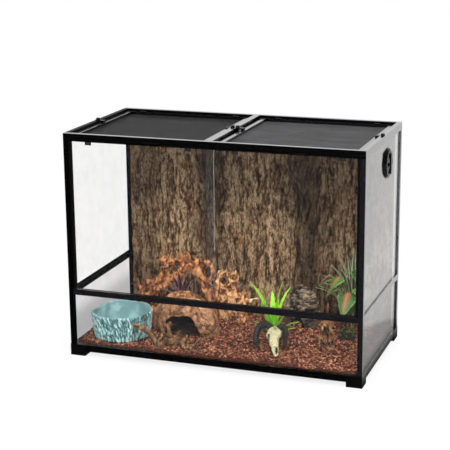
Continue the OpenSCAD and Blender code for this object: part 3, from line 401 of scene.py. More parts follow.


# Painted light: the right screen's wire is given paler tones than the left's, though both are the same black
# wire.
for side, dark, pale in (("left", "1d1d1e", "2c2c2d"), ("right", "3c3c3d", "4e4e50")):
    wire_finish, tree, shader = material("screen_wire_" + side, Specular_IOR_Level=0.4, Coat_Weight=0.2)
    tone = cloud(tree, 30, 5, stretch=(0.35, 1, 1))
    black = ramp(tone, (0.35, dark), (0.65, pale))
    skin(shader, black, tone, (0.5, 0.65), 0.00003, cloud(tree, 2500, 1), (0.2, 0.8))
    low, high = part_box("lid_screen_" + side)
    across = np.arange(low.x, high.x, wire_pitch)
    along = np.arange(low.y, high.y, wire_pitch)
    middle = (low.z + high.z) / 2
    welded = middle - wire_thick * weld_share
    starts = np.concatenate([xyz(across, low.y, middle - wire_thick), xyz(low.x, along, welded)])
    ends = np.concatenate([xyz(across + wire_thick, high.y, middle),
                           xyz(high.x, along + wire_thick, middle + wire_thick)])
    wires = starts[:, None] + bar_corners * (ends - starts)[:, None]
    piece("screen_net_" + side, *bars(wires), wire_finish, "screen_black", "lid_" + side,
          ["lid_screen_" + side], smooth=False)

# ---- Side vent ----
# A round black plastic vent clamped through the right pane: flange, nut, and a dial that turns over it.

dress(black_coat("vent_plastic", "060607", 0.3, 0.00001, shine=0.22), "vent_flange", "vent_nut", "vent_dial")

# ---- Bark panel ----
# A slab of pressed cork bark that stands before the rear panes: long upright plates with furrows between
# them, split and flaked, brown with orange and grey patches, with painted shade: two darker upright bands,
# darker sides and a darker top.


def noise(points, cell, seed, octaves=4):
    """Fractal noise between about -1 and 1 at an array of points. The corners of a lattice of cells get
    values from a seeded table and are blended by smoothstep; each octave halves the cell and its weight."""
    table = np.random.default_rng(seed).uniform(-1, 1, 4096)
    total = 0.0
    for octave in range(octaves):
        scaled = np.asarray(points) / cell * 2**octave + 11.7 * (octave + 1)
        base = np.floor(scaled).astype(np.int64)
        part = scaled - base
        part = part * part * (3 - 2 * part)
        for corner in np.ndindex(2, 2, 2):
            spot = (base + corner) * (73856093, 19349663, 83492791)
            weight = np.prod(np.where(np.array(corner) == 1, part, 1 - part), axis=-1)
            total = total + table[(spot[..., 0] ^ spot[..., 1] ^ spot[..., 2]) & 4095] * weight / 2**octave
    return total


def plates(points, cell, seed, edge=3.0, octaves=3):
    """Height of cracked plates between 0 and 1: the distance from the lines where noise changes sign, which
    are the cracks, held level past a short slope."""
    return np.clip(np.abs(noise(points, cell, seed, octaves)) * edge, 0, 1)


def grid_faces(rows, columns, wrap=False, first=0):
    """Quads of a grid of points numbered row by row; wrap joins the last column to the first."""
    row, column = np.mgrid[0:rows - 1, 0:columns - (0 if wrap else 1)].reshape(2, -1)
    after = (column + 1) % columns
    return first + np.stack([row * columns + column, row * columns + after,
                             (row + 1) * columns + after, (row + 1) * columns + column], 1)


def slab(face, axis, level):
    """A closed slab: a grid of points as its face, the face's corners again at a level on an axis as its
    back, and a flat wall along each edge."""
    rows, columns = face.shape[:2]
    back = face[[0, 0, -1, -1], [0, -1, -1, 0]]
    back[:, axis] = level
    number = np.arange(rows * columns).reshape(rows, columns)
    a, b, c, d = range(rows * columns, rows * columns + 4)
    walls = [[*number[0, ::-1], a, b], [*number[::-1, -1], b, c], [*number[-1], c, d], [*number[:, 0], d, a]]
    return np.concatenate([face.reshape(-1, 3), back]), [*grid_faces(rows, columns), *walls, [a, d, c, b]]


def mark(tree, name):
    """A value that the mesh stores on its vertices."""
    return Mask(add(tree, "Attribute", {"attribute_name": name}).outputs["Fac"])


bark_low, bark_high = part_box("bark_panel")
bark_thick, skin_gap, back_least = 0.012, 0.0002, 0.001
furrow_deep, plate_deep, grain_stretch = 0.005, 0.0032, 0.19
back_tone = 0.7
x, z = np.meshgrid(np.linspace(bark_low.x, bark_high.x, 398), np.linspace(bark_low.z, bark_high.z, 250))
# The furrows of the solid: two waves along the panel's width that sway with the height, and one that climbs
turn_x, turn_z = (2 * np.pi * 1000 * value for value in (x, z))
swayed = turn_x + 2 * np.pi * 7 * np.sin(turn_z / 260)
furrow = 0.5 + 0.24 * np.sin(swayed / 61 + np.radians(40)) + 0.16 * np.sin(swayed / 37 + np.radians(160))
furrow = furrow_deep * (furrow + 0.1 * np.sin((turn_z + 2 * swayed) / 118))
flat = xyz(x, 0.0, z * grain_stretch)
flat[..., 0] += 0.008 * noise(flat * (1, 1, 2), 0.05, 3, 2)
bark_rise = 0.58 * plates(flat, 0.015, 5, 3.4) + 0.42 * plates(flat * (1, 1, 2.2), 0.0075, 8, 2.2)
bark_front = bark_high.y - bark_thick + skin_gap
bark_y = np.minimum(bark_front + furrow + plate_deep * (1 - bark_rise), bark_high.y - back_least)
bark_rise = np.clip(bark_rise * 0.8 + 0.3 * (1 - furrow / furrow_deep), 0, 1.1)

upright = (1, 1, 0.2)
bark_finish, tree, shader = material("bark", Specular_IOR_Level=0.2)
fibre = cloud(tree, 330, 5, 0.7, (1, 1, 0.34))
flake = cloud(tree, 120, 5, 0.65, (1, 1, 0.45))
height = mark(tree, "rise") * 0.24 + (fibre * 0.36 + (flake * 0.3 + cloud(tree, 62, 3, 0.5, upright) * 0.24))
wood = ramp(height, (0.4, "0e0906"), (0.475, "35261a"), (0.54, "6e523b"), (0.6, "a6805c"), (0.69, "f0cea2"))
fine_crack = cloud(tree, 250, 3, 0.6, (1, 1, 0.3)).near(0.5, 0.05)
crack = cloud(tree, 125, 4, 0.6, upright).near(0.5, 0.035) | fine_crack * 0.6
wood = blend_of(crack * 0.86, wood, "0e0a08")
wood = blend_of(cloud(tree, 16, 3, stretch=(1, 1, 0.5)).span(0.56, 0.7) * 0.3, wood, "b87a4c", "OVERLAY")
spot = axes(tree, "TexCoord", "Object")
sway = maths(tree, "SUBTRACT", spot["X"], cloud(tree, 5, 2) * 0.1, held=False)
# Painted shade: two upright bands, the sides and the top are darkened; soft patches are darkened at random
# too.
shades = [
    (sway.near(-0.21, 0.075) * 0.78, "4a4038"),
    (sway.near(0.112, 0.11) * 0.88, "4a4038"),
    ((spot["X"].span(-0.29, -0.37) | spot["X"].span(0.16, 0.27)) * 0.5, "5c4c3e"),
    (cloud(tree, 9, 3, 0.5, (1, 1, 0.45)).span(0.5, 0.64) * 0.35, "5c4c3e"),
    (spot["Z"].span(0.28, 0.52) * 0.42, "4a4038"),
]
for share, shade in shades:
    wood = blend_of(share, wood, shade, "MULTIPLY")
skin(shader, wood, fibre, (0.75, 0.95), 0.006, fibre * 0.5 + flake * 0.4 - crack * 0.4)
piece("bark_slab", *slab(xyz(x, bark_y, z), 1, bark_high.y), bark_finish, "bark_brown",
      replaces=["bark_panel"], rise=np.append(bark_rise, np.full(4, back_tone)))

# ---- Substrate ----
# A bed of red-brown coconut husk chips on the floor glass, heaped a little at the left and the back.
# The bed is one closed slab, and loose chips lie over all of it.

bed_low, bed_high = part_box("substrate")
bowl_low, bowl_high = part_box("water_bowl")
bowl_middle = (bowl_low + bowl_high) / 2
ground = 1000 * bed_high.z


def bed_height(x, y):
    """Height of the bed: level, lower at the front glass, uneven, heaped at the left pane and the bark."""
    front = 0.005 * np.clip(1 - (y - bed_low.y) / 0.013, 0, 1)
    heap = 0.011 * np.exp(-(((x - bed_low.x) / 0.05) ** 2 + ((y + 0.05) / 0.13) ** 2))
    rear = 0.006 * np.exp(-((y - bed_high.y) / 0.05) ** 2)
    return bed_high.z - 0.002 - front + heap + rear + 0.0016 * noise(xyz(x, y, 0.0), 0.03, 13, 3)


def husk_finish(name, shine, grit, rough, depth, tones, chip_share=None):
    """Husk, darkened almost to black inside the cave as painted shade, and darker at the left: its noise and
    its colours along that noise. On chips, the noise has a share in the colour beside the tone that each chip
    stores."""
    made, tree, shader = material(name, Specular_IOR_Level=shine)
    grain = cloud(tree, *grit)
    spot = axes(tree, "TexCoord", "Object")
    cave = spot["X"].span(-0.262, -0.24) * spot["X"].span(-0.075, -0.095) * spot["Y"].span(-0.085, -0.06)
    # Painted shade darkens the chips inside the cave; the bed also darkens towards the left pane.
    painted_darkening = cave * spot["Y"].span(0.05, 0.03) * 0.86 | spot["X"].span(-0.36, -0.43) * 0.35
    shade = grain * chip_share + mark(tree, "tone") * 0.8 if chip_share else grain
    skin(shader, blend_of(painted_darkening, ramp(shade, *tones), "070302"), grain, rough, depth)
    return made


x, y = np.meshgrid(np.linspace(bed_low.x, bed_high.x, 221), np.linspace(bed_low.y, bed_high.y, 105))
bed_finish = husk_finish("husk", 0.3, (420, 4, 0.7), (0.8, 0.95), 0.003,
                         [(0.4, "140704"), (0.52, "46200f"), (0.64, "7e412c")])
piece("husk_bed", *slab(xyz(x, y, bed_height(x, y)), 2, bed_low.z), bed_finish, "substrate_chips",
      replaces=["substrate"])


def rotated(first, second, angle):
    """Two coordinates turned by an angle about the third."""
    return first * np.cos(angle) - second * np.sin(angle), first * np.sin(angle) + second * np.cos(angle)


# Under the bowl the chips are pressed down into the bed
chip_rng = np.random.default_rng(21)
chip_count, chip_margin = 14500, 0.006
pressed_r, pressed_lift = 0.09, -0.003
chip_half = np.stack([chip_rng.gamma(3.0, 0.0009, chip_count) + 0.0014,
                      chip_rng.uniform(0.0007, 0.002, chip_count),
                      chip_rng.uniform(0.0005, 0.0014, chip_count)], 1)
chip_x = chip_rng.uniform(bed_low.x + chip_margin, bed_high.x - chip_margin, chip_count)
chip_y = chip_rng.uniform(bed_low.y + chip_margin, bed_high.y - chip_margin, chip_count)
under_bowl = np.hypot(chip_x - bowl_middle.x, chip_y - bowl_middle.y) < pressed_r
chip_lift = np.where(under_bowl, pressed_lift, chip_rng.uniform(0.0002, 0.0036, chip_count))
chip_turn = chip_rng.uniform(0, 2 * np.pi, chip_count)
chip_tilt = np.where(under_bowl, 0, chip_rng.normal(0, 0.38, chip_count))
chip_shape = (bar_corners * 2 - 1) * chip_rng.uniform(0.55, 1.15, (chip_count, 8, 3)) * chip_half[:, None]
chip_x_at, chip_z_at = rotated(chip_shape[..., 0], chip_shape[..., 2], chip_tilt[:, None])
chip_x_at, chip_y_at = rotated(chip_x_at, chip_shape[..., 1], chip_turn[:, None])
chip_z = bed_height(chip_x, chip_y) + chip_lift
chips = xyz(chip_x_at + chip_x[:, None], chip_y_at + chip_y[:, None], chip_z_at + chip_z[:, None])
chip_finish = husk_finish("husk_chip", 0.35, (700, 3, 0.6), (0.6, 0.85), 0.0006, [
    (0.14, "140603"), (0.34, "4a2012"), (0.56, "82442e"), (0.76, "b06c50"), (0.94, "e4aa80")], 0.35)
piece("husk_chips", *bars(chips), chip_finish, "substrate_chips", smooth=False,
      tone=np.repeat(chip_rng.beta(1.1, 1.2, chip_count), 8))

# ---- Water bowl ----
# A turquoise resin bowl, cast as a hollow log: bark ridges outside, a rounded rim with one flat stretch,
# and a smooth glazed inside.

bowl_rim, bowl_foot, bowl_tall = 0.097, 0.088, bowl_high.z - bowl_low.z
bowl_columns, bowl_rows = 480, 60
bark_round, bark_deep, grain_deep, wave_deep = 0.095, 0.0036, 0.0034, 0.003
turn = np.linspace(0, 2 * np.pi, bowl_columns, endpoint=False)
flat_turn, flat_at = math.radians(172), 0.87
to_flat = np.abs((turn - flat_turn + np.pi) % (2 * np.pi) - np.pi)
outline = np.minimum(1.0, flat_at / np.maximum(np.cos(to_flat), 0.3))
softened = np.exp(-(np.fft.fftfreq(bowl_columns, 1 / bowl_columns) / 14) ** 2)
outline = np.real(np.fft.ifft(np.fft.fft(outline) * softened)) * (1 + 0.012 * np.cos(3 * turn + 1))
# Profile of the wall from the middle of the underside, up the outside, over the rim and down to the middle:
# share of the outline's radius, height, and how deep the bark is cut there.
bowl_outside = [(r, 0.0, 0) for r in (0.0, 0.5, 0.9)]
bowl_outside += [(1.0, t, 1) for t in np.linspace(0.02, 0.9, bowl_rows)]
lip = [(1 - 0.075 * (1 - math.cos(a)) / 2, 0.93 + 0.07 * math.sin(a), 0.35)
       for a in np.linspace(0.1, math.pi - 0.1, 10)]
bowl_inside = [(0.922 - 0.1 * s**2.2, 0.93 - 0.82 * s, 0) for s in np.linspace(0.03, 1, 22)]
bowl_inside += [(r, 0.095, 0) for r in (0.6, 0.3, 0.0)]
share, tall, cut = np.array(bowl_outside + lip + bowl_inside).T[..., None]
wall_r = bowl_foot + (bowl_rim - bowl_foot) * np.clip(tall, 0, 1) ** 0.8
height = tall * bowl_tall * np.ones(bowl_columns)
lean = turn + height * 5 * np.sin(turn / 2) ** 2
wrapped = xyz(np.cos(lean) * bark_round, np.sin(lean) * bark_round, height * 0.27)
bowl_bark = plates(wrapped, 0.0062, 31, 1.7)
bowl_grain = noise(wrapped * (1, 1, 1.6), 0.003, 33, 2)
carved = cut * (bark_deep * (1 - bowl_bark) + grain_deep * (1 - bowl_grain) / 2)
rim_wave = np.where(tall > 0.9, wave_deep, 0.0) * noise(wrapped, 0.02, 35, 2)
radius = np.maximum(wall_r * share * outline - carved, 0)
bowl_points = xyz(bowl_middle.x + radius * np.cos(turn), bowl_middle.y + radius * np.sin(turn),
                  bowl_low.z + np.minimum(height + rim_wave, bowl_tall))
bowl_finish, tree, shader = material("bowl_resin", Specular_IOR_Level=0.5,
                                     Coat_Weight=0.25, Coat_Roughness=0.2)
fine = cloud(tree, 260, 4, 0.6)
# The glaze follows the carved relief: dark in the bark's furrows as painted shade, pale on its ridges as
# painted highlight.
glaze = ramp(fine * 0.3 + mark(tree, "rise") * 0.75, (0.26, "1e2e30"), (0.45, "527e7e"), (0.62, "84b0ae"),
             (0.82, "ccebe8"))
glazed = blend_of(cloud(tree, 22, 2, 0.5).span(0.4, 0.62), "789c9c", "a0c4c2")
skin(shader, blend_of(mark(tree, "inside"), glaze, glazed), fine, (0.3, 0.45), 0.001)
bowl_rise = np.where(cut > 0, bowl_bark * 0.55 + 0.24 * (1 + bowl_grain), 0.72)
glazed_rows = np.arange(len(tall)) > len(bowl_outside) + len(lip) // 2
piece("bowl_shell", bowl_points.reshape(-1, 3), grid_faces(len(tall), bowl_columns, True), bowl_finish,
      "bowl_resin", "water_bowl", ["water_bowl"], rise=bowl_rise.ravel(),
      inside=np.repeat(glazed_rows, bowl_columns))

# ---- Hides ----
# Two hollow caves of cast stone resin that stand open side down: a wide brown one, and a tall dark one.
# Each is a dome whose skin ends at a doorway, with a wall turned in from it.


def hide_skin(size, door, door_shift, roughness, seed, columns=260, rows=100):
    """A dome as a grid, from its foot or the doorway's edge up to the crown. For each turn, the lowest angle
    is where the dome leaves the doorway, an arch given as shares of its width and height and seen from the
    front, found by halving. The roughness is the size of the lumps and the cracks, their depths, and how much
    flatter than wide the cracks' plates are. Returns points and rise."""
    turn = np.linspace(0, 2 * np.pi, columns, endpoint=False)
    wide, deep, tall = size
    door_wide, door_high, arch = door
    lump_cell, crack_cell, lump_deep, crack_deep, flatter = roughness
    ragged = 1 + 0.09 * noise(xyz(np.cos(turn), np.sin(turn), 0.0), 0.35, seed + 1, 3)
    low, high = np.zeros(columns), np.full(columns, np.pi / 2)
    for _ in range(30):
        angle = (low + high) / 2
        across = (wide / 2 * np.cos(angle) * np.sin(turn) - door_shift) / (door_wide * ragged)
        inside = np.abs(across) < 0.5
        top = door_high * ragged * np.interp(across, *np.transpose(arch))
        blocked = inside & (tall * np.sin(angle) < top) & (np.cos(turn) > 0)
        low, high = np.where(blocked, angle, low), np.where(blocked, high, angle)
    start = np.where(low > 0.001, low, 0)
    angle = start + (np.pi / 2 - start) * np.linspace(0, 1, rows)[:, None] ** 0.9
    unit = xyz(np.cos(angle) * np.sin(turn), -np.cos(angle) * np.cos(turn), np.sin(angle))
    points = unit * (wide / 2, deep / 2, tall)
    lumps = noise(points, lump_cell, seed, 2)
    flattened = points * (1, 1, flatter)
    cracks = plates(flattened, crack_cell, seed + 2, 2.5)
    rise = 0.5 * cracks + 0.25 * (1 + noise(flattened, crack_cell / 3, seed + 4, 3))
    points = points + unit * (lump_deep * (lumps - 0.8) + crack_deep * (rise - 1))[..., None]
    points[..., 2] = np.maximum(points[..., 2], 0)
    points[-1] = points[-1].mean(0)
    return points, rise


def fan(ring, tip):
    """Triangles from the edges of a ring of points to a tip."""
    return np.stack([ring, np.roll(ring, -1), np.full(len(ring), tip)], 1)


def dome(rings):
    """A skin over rings of points, the last of which has shrunk to one point."""
    rows, columns = rings.shape[:2]
    kept = (rows - 1) * columns
    crown = fan(np.arange(kept - columns, kept), kept)
    faces = [*grid_faces(rows - 1, columns, True), *crown]
    return np.concatenate([rings[:-1].reshape(-1, 3), rings[-1, :1]]), faces


def dome_mark(values):
    """A value on each point of a dome."""
    return np.append(values[:-1].ravel(), values[-1, 0])


hide_sunk = 0.003
# Painted shade: the hides' inside walls are near black.
inside_finish, tree, shader = material("hide_inside", Specular_IOR_Level=0.04)
inside_shade_grain = cloud(tree, 90, 4)
skin(shader, ramp(inside_shade_grain, (0.3, "050302"), (0.7, "150d08")), inside_shade_grain, (0.8, 0.95), 0.002)


def hide(name, node, finish, slot, middle, size, door, door_shift, degrees, wall, roughness, seed):
    """A hide in its place: the skin turned and moved to its middle, pressed into the bed, joined at the
    crown, with its wall inside."""
    points, rise = hide_skin(size, door, door_shift, roughness, seed)
    x, y = rotated(points[..., 0], points[..., 1], math.radians(degrees))
    placed = xyz(x + middle[0], y + middle[1], points[..., 2] + bed_high.z - hide_sunk)
    made = piece(name, *dome(placed), finish, slot, "case", [node], rise=dome_mark(rise))
    shell = made.modifiers.new("wall", "SOLIDIFY")
    shell.thickness = wall
    shell.offset = -1
    made.data.materials.append(inside_finish)
    shell.material_offset = 1
    return made


cave_finish, tree, shader = material("cave_resin", Specular_IOR_Level=0.4,
                                     Coat_Weight=0.15, Coat_Roughness=0.3)
pit = cloud(tree, 130, 5, 0.65)
base = ramp(mark(tree, "rise") * 0.55 + pit * 0.5, (0.29, "140a04"), (0.43, "55341a"), (0.56, "895a37"),
            (0.7, "b07c50"), (0.88, "ecc29a"))
# Painted highlights: pale pinkish flecks on the steep faces.
steep = axes(tree, "NewGeometry", "Normal")["Z"].span(0.97, 0.5)
patchy = cloud(tree, 34, 3).span(0.42, 0.6) * 0.6 + 0.12
glint_flecks = cloud(tree, 330, 4, 0.7).span(0.54, 0.59) * steep * patchy
skin(shader, blend_of(glint_flecks, base, "e8bc98"), pit, (0.5, 0.75), 0.003)
leaning_arch = [(-0.5, 0.5), (-0.44, 0.74), (-0.32, 0.9), (-0.14, 0.97), (0.04, 1), (0.14, 0.94),
                (0.24, 0.76), (0.5, 0)]
hide("cave_shell", "cave_hide", cave_finish, "cave_resin", middle=(-0.1615, -0.020),
     size=(0.248, 0.130, 0.130), door=(0.142, 0.070, leaning_arch), door_shift=0.026, degrees=-10,
     wall=0.010, roughness=(0.06, 0.026, 0.003, 0.003, 1), seed=41)

rock_finish, tree, shader = material("rock_resin", Specular_IOR_Level=0.35)
pit = cloud(tree, 120, 5, 0.7, (1, 1, 2.6))
base = ramp(mark(tree, "rise") * 0.5 + pit * 0.55, (0.35, "060505"), (0.46, "231d1b"), (0.55, "42382f"),
            (0.65, "74624f"), (0.79, "b8a088"))
base = blend_of(axes(tree, "TexCoord", "Object")["Z"].span(0.1, 0.06) * 0.6, base, "1a1614")
base = blend_of(cloud(tree, 30, 3).span(0.5, 0.65) * 0.35, base, "9a6a4c")
skin(shader, base, pit, (0.7, 0.9), 0.004)
round_arch = [(u, math.sqrt(1 - 4 * u * u)) for u in np.linspace(-0.5, 0.5, 31)]
hide("rock_shell", "rock_hide", rock_finish, "rock_dark", middle=(0.172, 0.1417), size=(0.135, 0.084, 0.140),
     door=(0.052, 0.046, round_arch), door_shift=-0.008, degrees=0, wall=0.008,
     roughness=(0.04, 0.03, 0.004, 0.007, 3), seed=51)

# ---- Driftwood and roots ----
# Weathered root wood, bleached orange to tan: limbs that fork and fuse, with knots, hollows and small spurs.
# The limbs are drawn as tapered tubes, fused into one skin, then worn by noise along the skin's normals.


def curve(points, count):
    """Points along a Catmull-Rom curve through the given ones, evenly spread by their number."""
    points = np.asarray(points, float)
    padded = np.concatenate([2 * points[:1] - points[1:2], points, 2 * points[-1:] - points[-2:-1]])
    at = np.linspace(0, len(points) - 1 - 1e-9, count)
    start = at.astype(int)
    t = (at - start)[:, None]
    a, b, c, d = (padded[start + k] for k in range(4))
    return 0.5 * (2 * b + (c - a) * t + (2 * a - 5 * b + 4 * c - d) * t**2 + (3 * b - 3 * c + d - a) * t**3)


def closed(rings, poles):
    """A closed skin over rings of points, with a pole at each end. Returns vertices and faces."""
    count, sides = rings.shape[:2]
    number = np.arange(sides)
    start = fan(number, count * sides)[:, [1, 0, 2]]
    end = fan(number + (count - 1) * sides, count * sides + 1)
    return np.concatenate([rings.reshape(-1, 3), poles]), [*grid_faces(count, sides, True), *start, *end]


def tube(path, radii, sides=12, count=24, aside=(0.31, 0.95, 0.05)):
    """A closed tapered tube: rings square to a smooth path, turned about a fixed side direction."""
    centre = curve(path, count)
    radius = curve(np.asarray(radii, float)[:, None], count)
    along = np.gradient(centre, axis=0)
    along /= np.linalg.norm(along, axis=1)[:, None]
    first = np.cross(along, aside)
    first /= np.linalg.norm(first, axis=1)[:, None]
    second = np.cross(along, first)
    turn = np.linspace(0, 2 * np.pi, sides, endpoint=False)[:, None]
    spokes = np.cos(turn) * first[:, None] + np.sin(turn) * second[:, None]
    rings = centre[:, None] + radius[:, None] * spokes
    poles = np.stack([centre[0] - along[0] * radius[0] * 0.5, centre[-1] + along[-1] * radius[-1] * 0.5])
    return closed(rings, poles)


def joined(shells):
    """Several shells as one: all their vertices, and their faces numbered on from one to the next."""
    firsts = np.cumsum([0] + [len(vertices) for vertices, _ in shells]).tolist()
    faces = [[int(i) + first for i in face] for (_, part), first in zip(shells, firsts) for face in part]
    return np.concatenate([vertices for vertices, _ in shells]), faces


def fuse(shells, cell):
    """One skin round overlapping closed shells: their union on a lattice of small cubes. Returns its
    vertices, its faces and the normals at its vertices."""
    vertices, faces = joined(shells)
    mesh = bpy.data.meshes.new("shells")
    mesh.from_pydata(vertices.tolist(), [], faces)
    made = bpy.data.objects.new("shells", mesh)
    bpy.context.collection.objects.link(made)
    voxels = made.modifiers.new("skin", "REMESH")
    voxels.mode = "VOXEL"
    voxels.voxel_size = cell
    fused = bpy.data.meshes.new_from_object(made.evaluated_get(bpy.context.evaluated_depsgraph_get()))
    bpy.data.objects.remove(made)
    vertices, normals = np.empty((2, len(fused.vertices) * 3))
    fused.vertices.foreach_get("co", vertices)
    fused.vertex_normals.foreach_get("vector", normals)
    corners = np.empty(len(fused.loops), int)
    fused.loops.foreach_get("vertex_index", corners)
    return vertices.reshape(-1, 3), corners.reshape(-1, 4), normals.reshape(-1, 3)


def spurs(path, radii, rng, count, length, rise=0.5):
    """Small crooked twigs along a limb: each starts inside it, at a random place, and bends upwards."""
    centre = curve(path, 60)
    radius = curve(np.asarray(radii, float)[:, None], 60)[:, 0]
    made = []
    for index in rng.integers(6, 56, count):
        heading = rng.normal(0, 1, 3) + (0, 0, rise)
        heading /= np.linalg.norm(heading)
        bend = rng.normal(0, 0.45, 3) + (0, 0, 0.3)
        reach = rng.uniform(*length)
        start = centre[index] + heading * radius[index] * 0.3
        twig = [start, start + heading * reach * 0.5, start + (heading + bend * 0.6) * reach]
        thick = rng.uniform(0.35, 0.6) * radius[index]
        made.append(tube(twig, [thick, thick * 0.7, thick * 0.25], 8, 8, (0.93, 0.11, 0.34)))
    return made


def worn_wood(name, node, finish, slot, limbs, anchor, cell, wear, seed, twigs, twig_length):
    """Driftwood from limbs given about an anchor in millimetres: fused on small cubes with the twigs of each
    limb, then knotted and grooved. The wear is the size of the knots and the grooves, then their depths."""
    knot_cell, groove_cell, knot_deep, groove_deep = wear
    rng = np.random.default_rng(seed)
    shells = []
    for path, radii in limbs:
        path, radii = (np.asarray(path, float) + anchor) / 1000, np.asarray(radii, float) / 1000
        shells.append(tube(path, radii))
        shells += spurs(path, radii, rng, twigs, twig_length)
    vertices, faces, normals = fuse(shells, cell)
    knots = noise(vertices, knot_cell, 61, 2)
    grooves = plates(vertices * (1, 1, 0.45), groove_cell, 63, 2.6)
    flakes = noise(vertices * (1, 1, 0.6), groove_cell / 3, 65, 3)
    holes = np.clip(noise(vertices, groove_cell, 67, 2) * 2.4 - 1.1, 0, 1)
    rise = np.clip(0.55 * grooves + 0.22 * (1 + flakes) - 0.6 * holes, 0, 1.2)
    vertices = vertices + normals * (knot_deep * knots + groove_deep * (rise - 0.75))[:, None]
    vertices[:, 2] = np.maximum(vertices[:, 2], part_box(node)[0].z - wood_sunk)
    return piece(name, vertices, faces, finish, slot, "case", [node], rise=rise)


def wood_finish(name, dark, mid, warm, pale, high):
    """Weathered wood: dark in its grooves and hollows as painted shade, pale on its high places as painted
    highlight, with long streaks of another hue.
    """
    made, tree, shader = material(name, Specular_IOR_Level=0.3)
    streak = cloud(tree, 95, 5, 0.6, (1, 1, 0.4))
    # Painted shade and highlight: the colour follows the relief, dark low and pale high.
    height = mark(tree, "rise") * 0.55 + streak * 0.45
    colour = ramp(height, (0.27, dark), (0.42, mid), (0.55, warm), (0.69, pale), (0.84, high))
    colour = blend_of(cloud(tree, 28, 3).span(0.42, 0.62) * 0.3, colour, warm)
    skin(shader, colour, streak, (0.6, 0.85), 0.002)
    return made


# How far below the bed the standing limbs start, in millimetres, and their skin ends, in metres
dip, wood_sunk = -8, 0.006
driftwood_finish = wood_finish("driftwood", "1a0c07", "6c3c27", "a2633c", "cc905e", "f4d3a0")
left_limbs = [
    ([(-128, -8, dip), (-104, -6, 34), (-66, -8, 84), (-40, -12, 140), (-36, -14, 196)], (17, 15, 14, 10, 4)),
    ([(-104, -6, 34), (-122, 2, 62), (-134, 0, 92)], (13, 10, 4)),
    ([(-66, -8, 84), (-20, -10, 112), (30, -16, 152), (58, -18, 194)], (13, 14, 12, 5)),
    ([(30, -16, 152), (62, -22, 184), (92, -22, 156), (122, -24, 92), (132, -22, 40), (134, -20, dip)],
     (11, 13, 15, 15, 14, 17)),
    ([(92, -22, 152), (108, -18, 178), (112, -16, 200)], (9, 7, 3)),
    ([(-20, -10, 112), (-28, -20, 158), (-6, -24, 186)], (11, 9, 4)),
    ([(-66, -8, 84), (-84, 18, 60), (-70, 34, dip)], (9, 10, 13)),
    ([(-40, -12, 140), (-4, -14, 176), (40, -18, 190), (72, -20, 182)], (9, 10, 11, 9)),
    ([(-6, -24, 186), (22, -22, 172), (44, -20, 160)], (8, 9, 8)),
    ([(-42, -12, 150), (-32, -14, 178), (-8, -14, 196)], (7, 5, 2)),
    ([(24, -18, 176), (40, -16, 188), (70, -18, 193), (94, -18, 186)], (6, 7, 7, 4)),
    ([(-42, -12, 136), (-58, -12, 114), (-92, -10, 98), (-120, -8, 64)], (8, 9, 8, 6)),
    ([(-116, -8, 8), (-90, -12, 18), (-62, -12, 12)], (8, 8, 6)),
    ([(112, -16, 196), (126, -14, 178), (132, -14, 150), (122, -18, 122)], (4, 6, 6, 5)),
    ([(124, -18, 118), (140, -14, 100), (142, -14, 72), (132, -20, 46)], (5, 6, 6, 5)),
]
worn_wood("driftwood_tangle", "driftwood_left", driftwood_finish, "driftwood", left_limbs,
          anchor=(-245.5, 113.7, ground), cell=0.002, wear=(0.024, 0.017, 0.003, 0.006), seed=71,
          twigs=9, twig_length=(0.014, 0.036))
center_limbs = [
    ([(-44, 4, dip), (-42, -4, 58), (-52, -8, 112), (-55, -6, 160)], (15, 12, 9, 4)),
    ([(-14, 4, dip), (-10, -8, 52), (-2, -10, 102), (12, -6, 146)], (15, 12, 9, 4)),
    ([(-42, -4, 58), (-12, -8, 78), (26, -6, 76), (56, -2, 62)], (9, 10, 9, 5)),
    ([(30, 4, dip), (30, -6, 40), (26, -6, 76), (38, -2, 108)], (14, 11, 9, 4)),
    ([(-10, -8, 52), (14, -20, 20), (34, -22, dip)], (10, 9, 12)),
    ([(-2, -10, 102), (-26, -8, 112), (-50, -8, 104)], (8, 8, 8)),
    ([(-54, -8, 138), (-30, -12, 148), (-8, -10, 128), (0, -10, 104)], (6, 7, 7, 6)),
    ([(10, -6, 142), (-6, -8, 152), (-22, -8, 154)], (5, 5, 3)),
    ([(-46, -6, 84), (-30, -14, 94), (-14, -14, 78), (-12, -8, 60)], (7, 7, 7, 7)),
]
cluster_finish = wood_finish("driftwood_pale", "1c0f08", "7a4a2e", "bf8656", "eab884", "fde6c2")
worn_wood("driftwood_cluster", "driftwood_center", cluster_finish, "driftwood", center_limbs,
          anchor=(-47, 125.7, ground), cell=0.0019, wear=(0.022, 0.016, 0.003, 0.006), seed=73,
          twigs=5, twig_length=(0.012, 0.03))
root_finish = wood_finish("root_wood", "1c1008", "47301c", "6a4a30", "8e6c48", "bc9868")
root_limbs = [
    ([(152, 24, dip), (142, 26, 18), (118, 24, 44), (92, 20, 58), (74, 17, 66)], (6, 7, 8, 8, 7)),
    ([(118, 24, 44), (128, 34, 22), (134, 38, dip)], (6, 6, 7)),
    ([(142, 26, 18), (158, 32, 34), (160, 36, 48)], (5, 4, 3)),
    ([(182, 52, dip), (178, 54, 24), (172, 56, 56), (178, 54, 72)], (9, 8, 6, 4)),
    ([(172, 56, 56), (160, 52, 66)], (6, 4)),
    ([(200, 40, dip), (196, 44, 14), (178, 54, 24)], (8, 8, 7)),
    ([(156, 30, 2), (170, 38, 16), (190, 42, 10), (208, 44, 18), (226, 40, 12)], (7, 9, 8, 9, 7)),
    ([(208, 44, 14), (204, 48, 36), (212, 50, 48)], (6, 5, 3)),
    ([(232, 60, 34), (226, 40, 16), (240, 28, 6), (262, 36, 12), (276, 56, 30)], (5, 8, 9, 8, 6)),
]
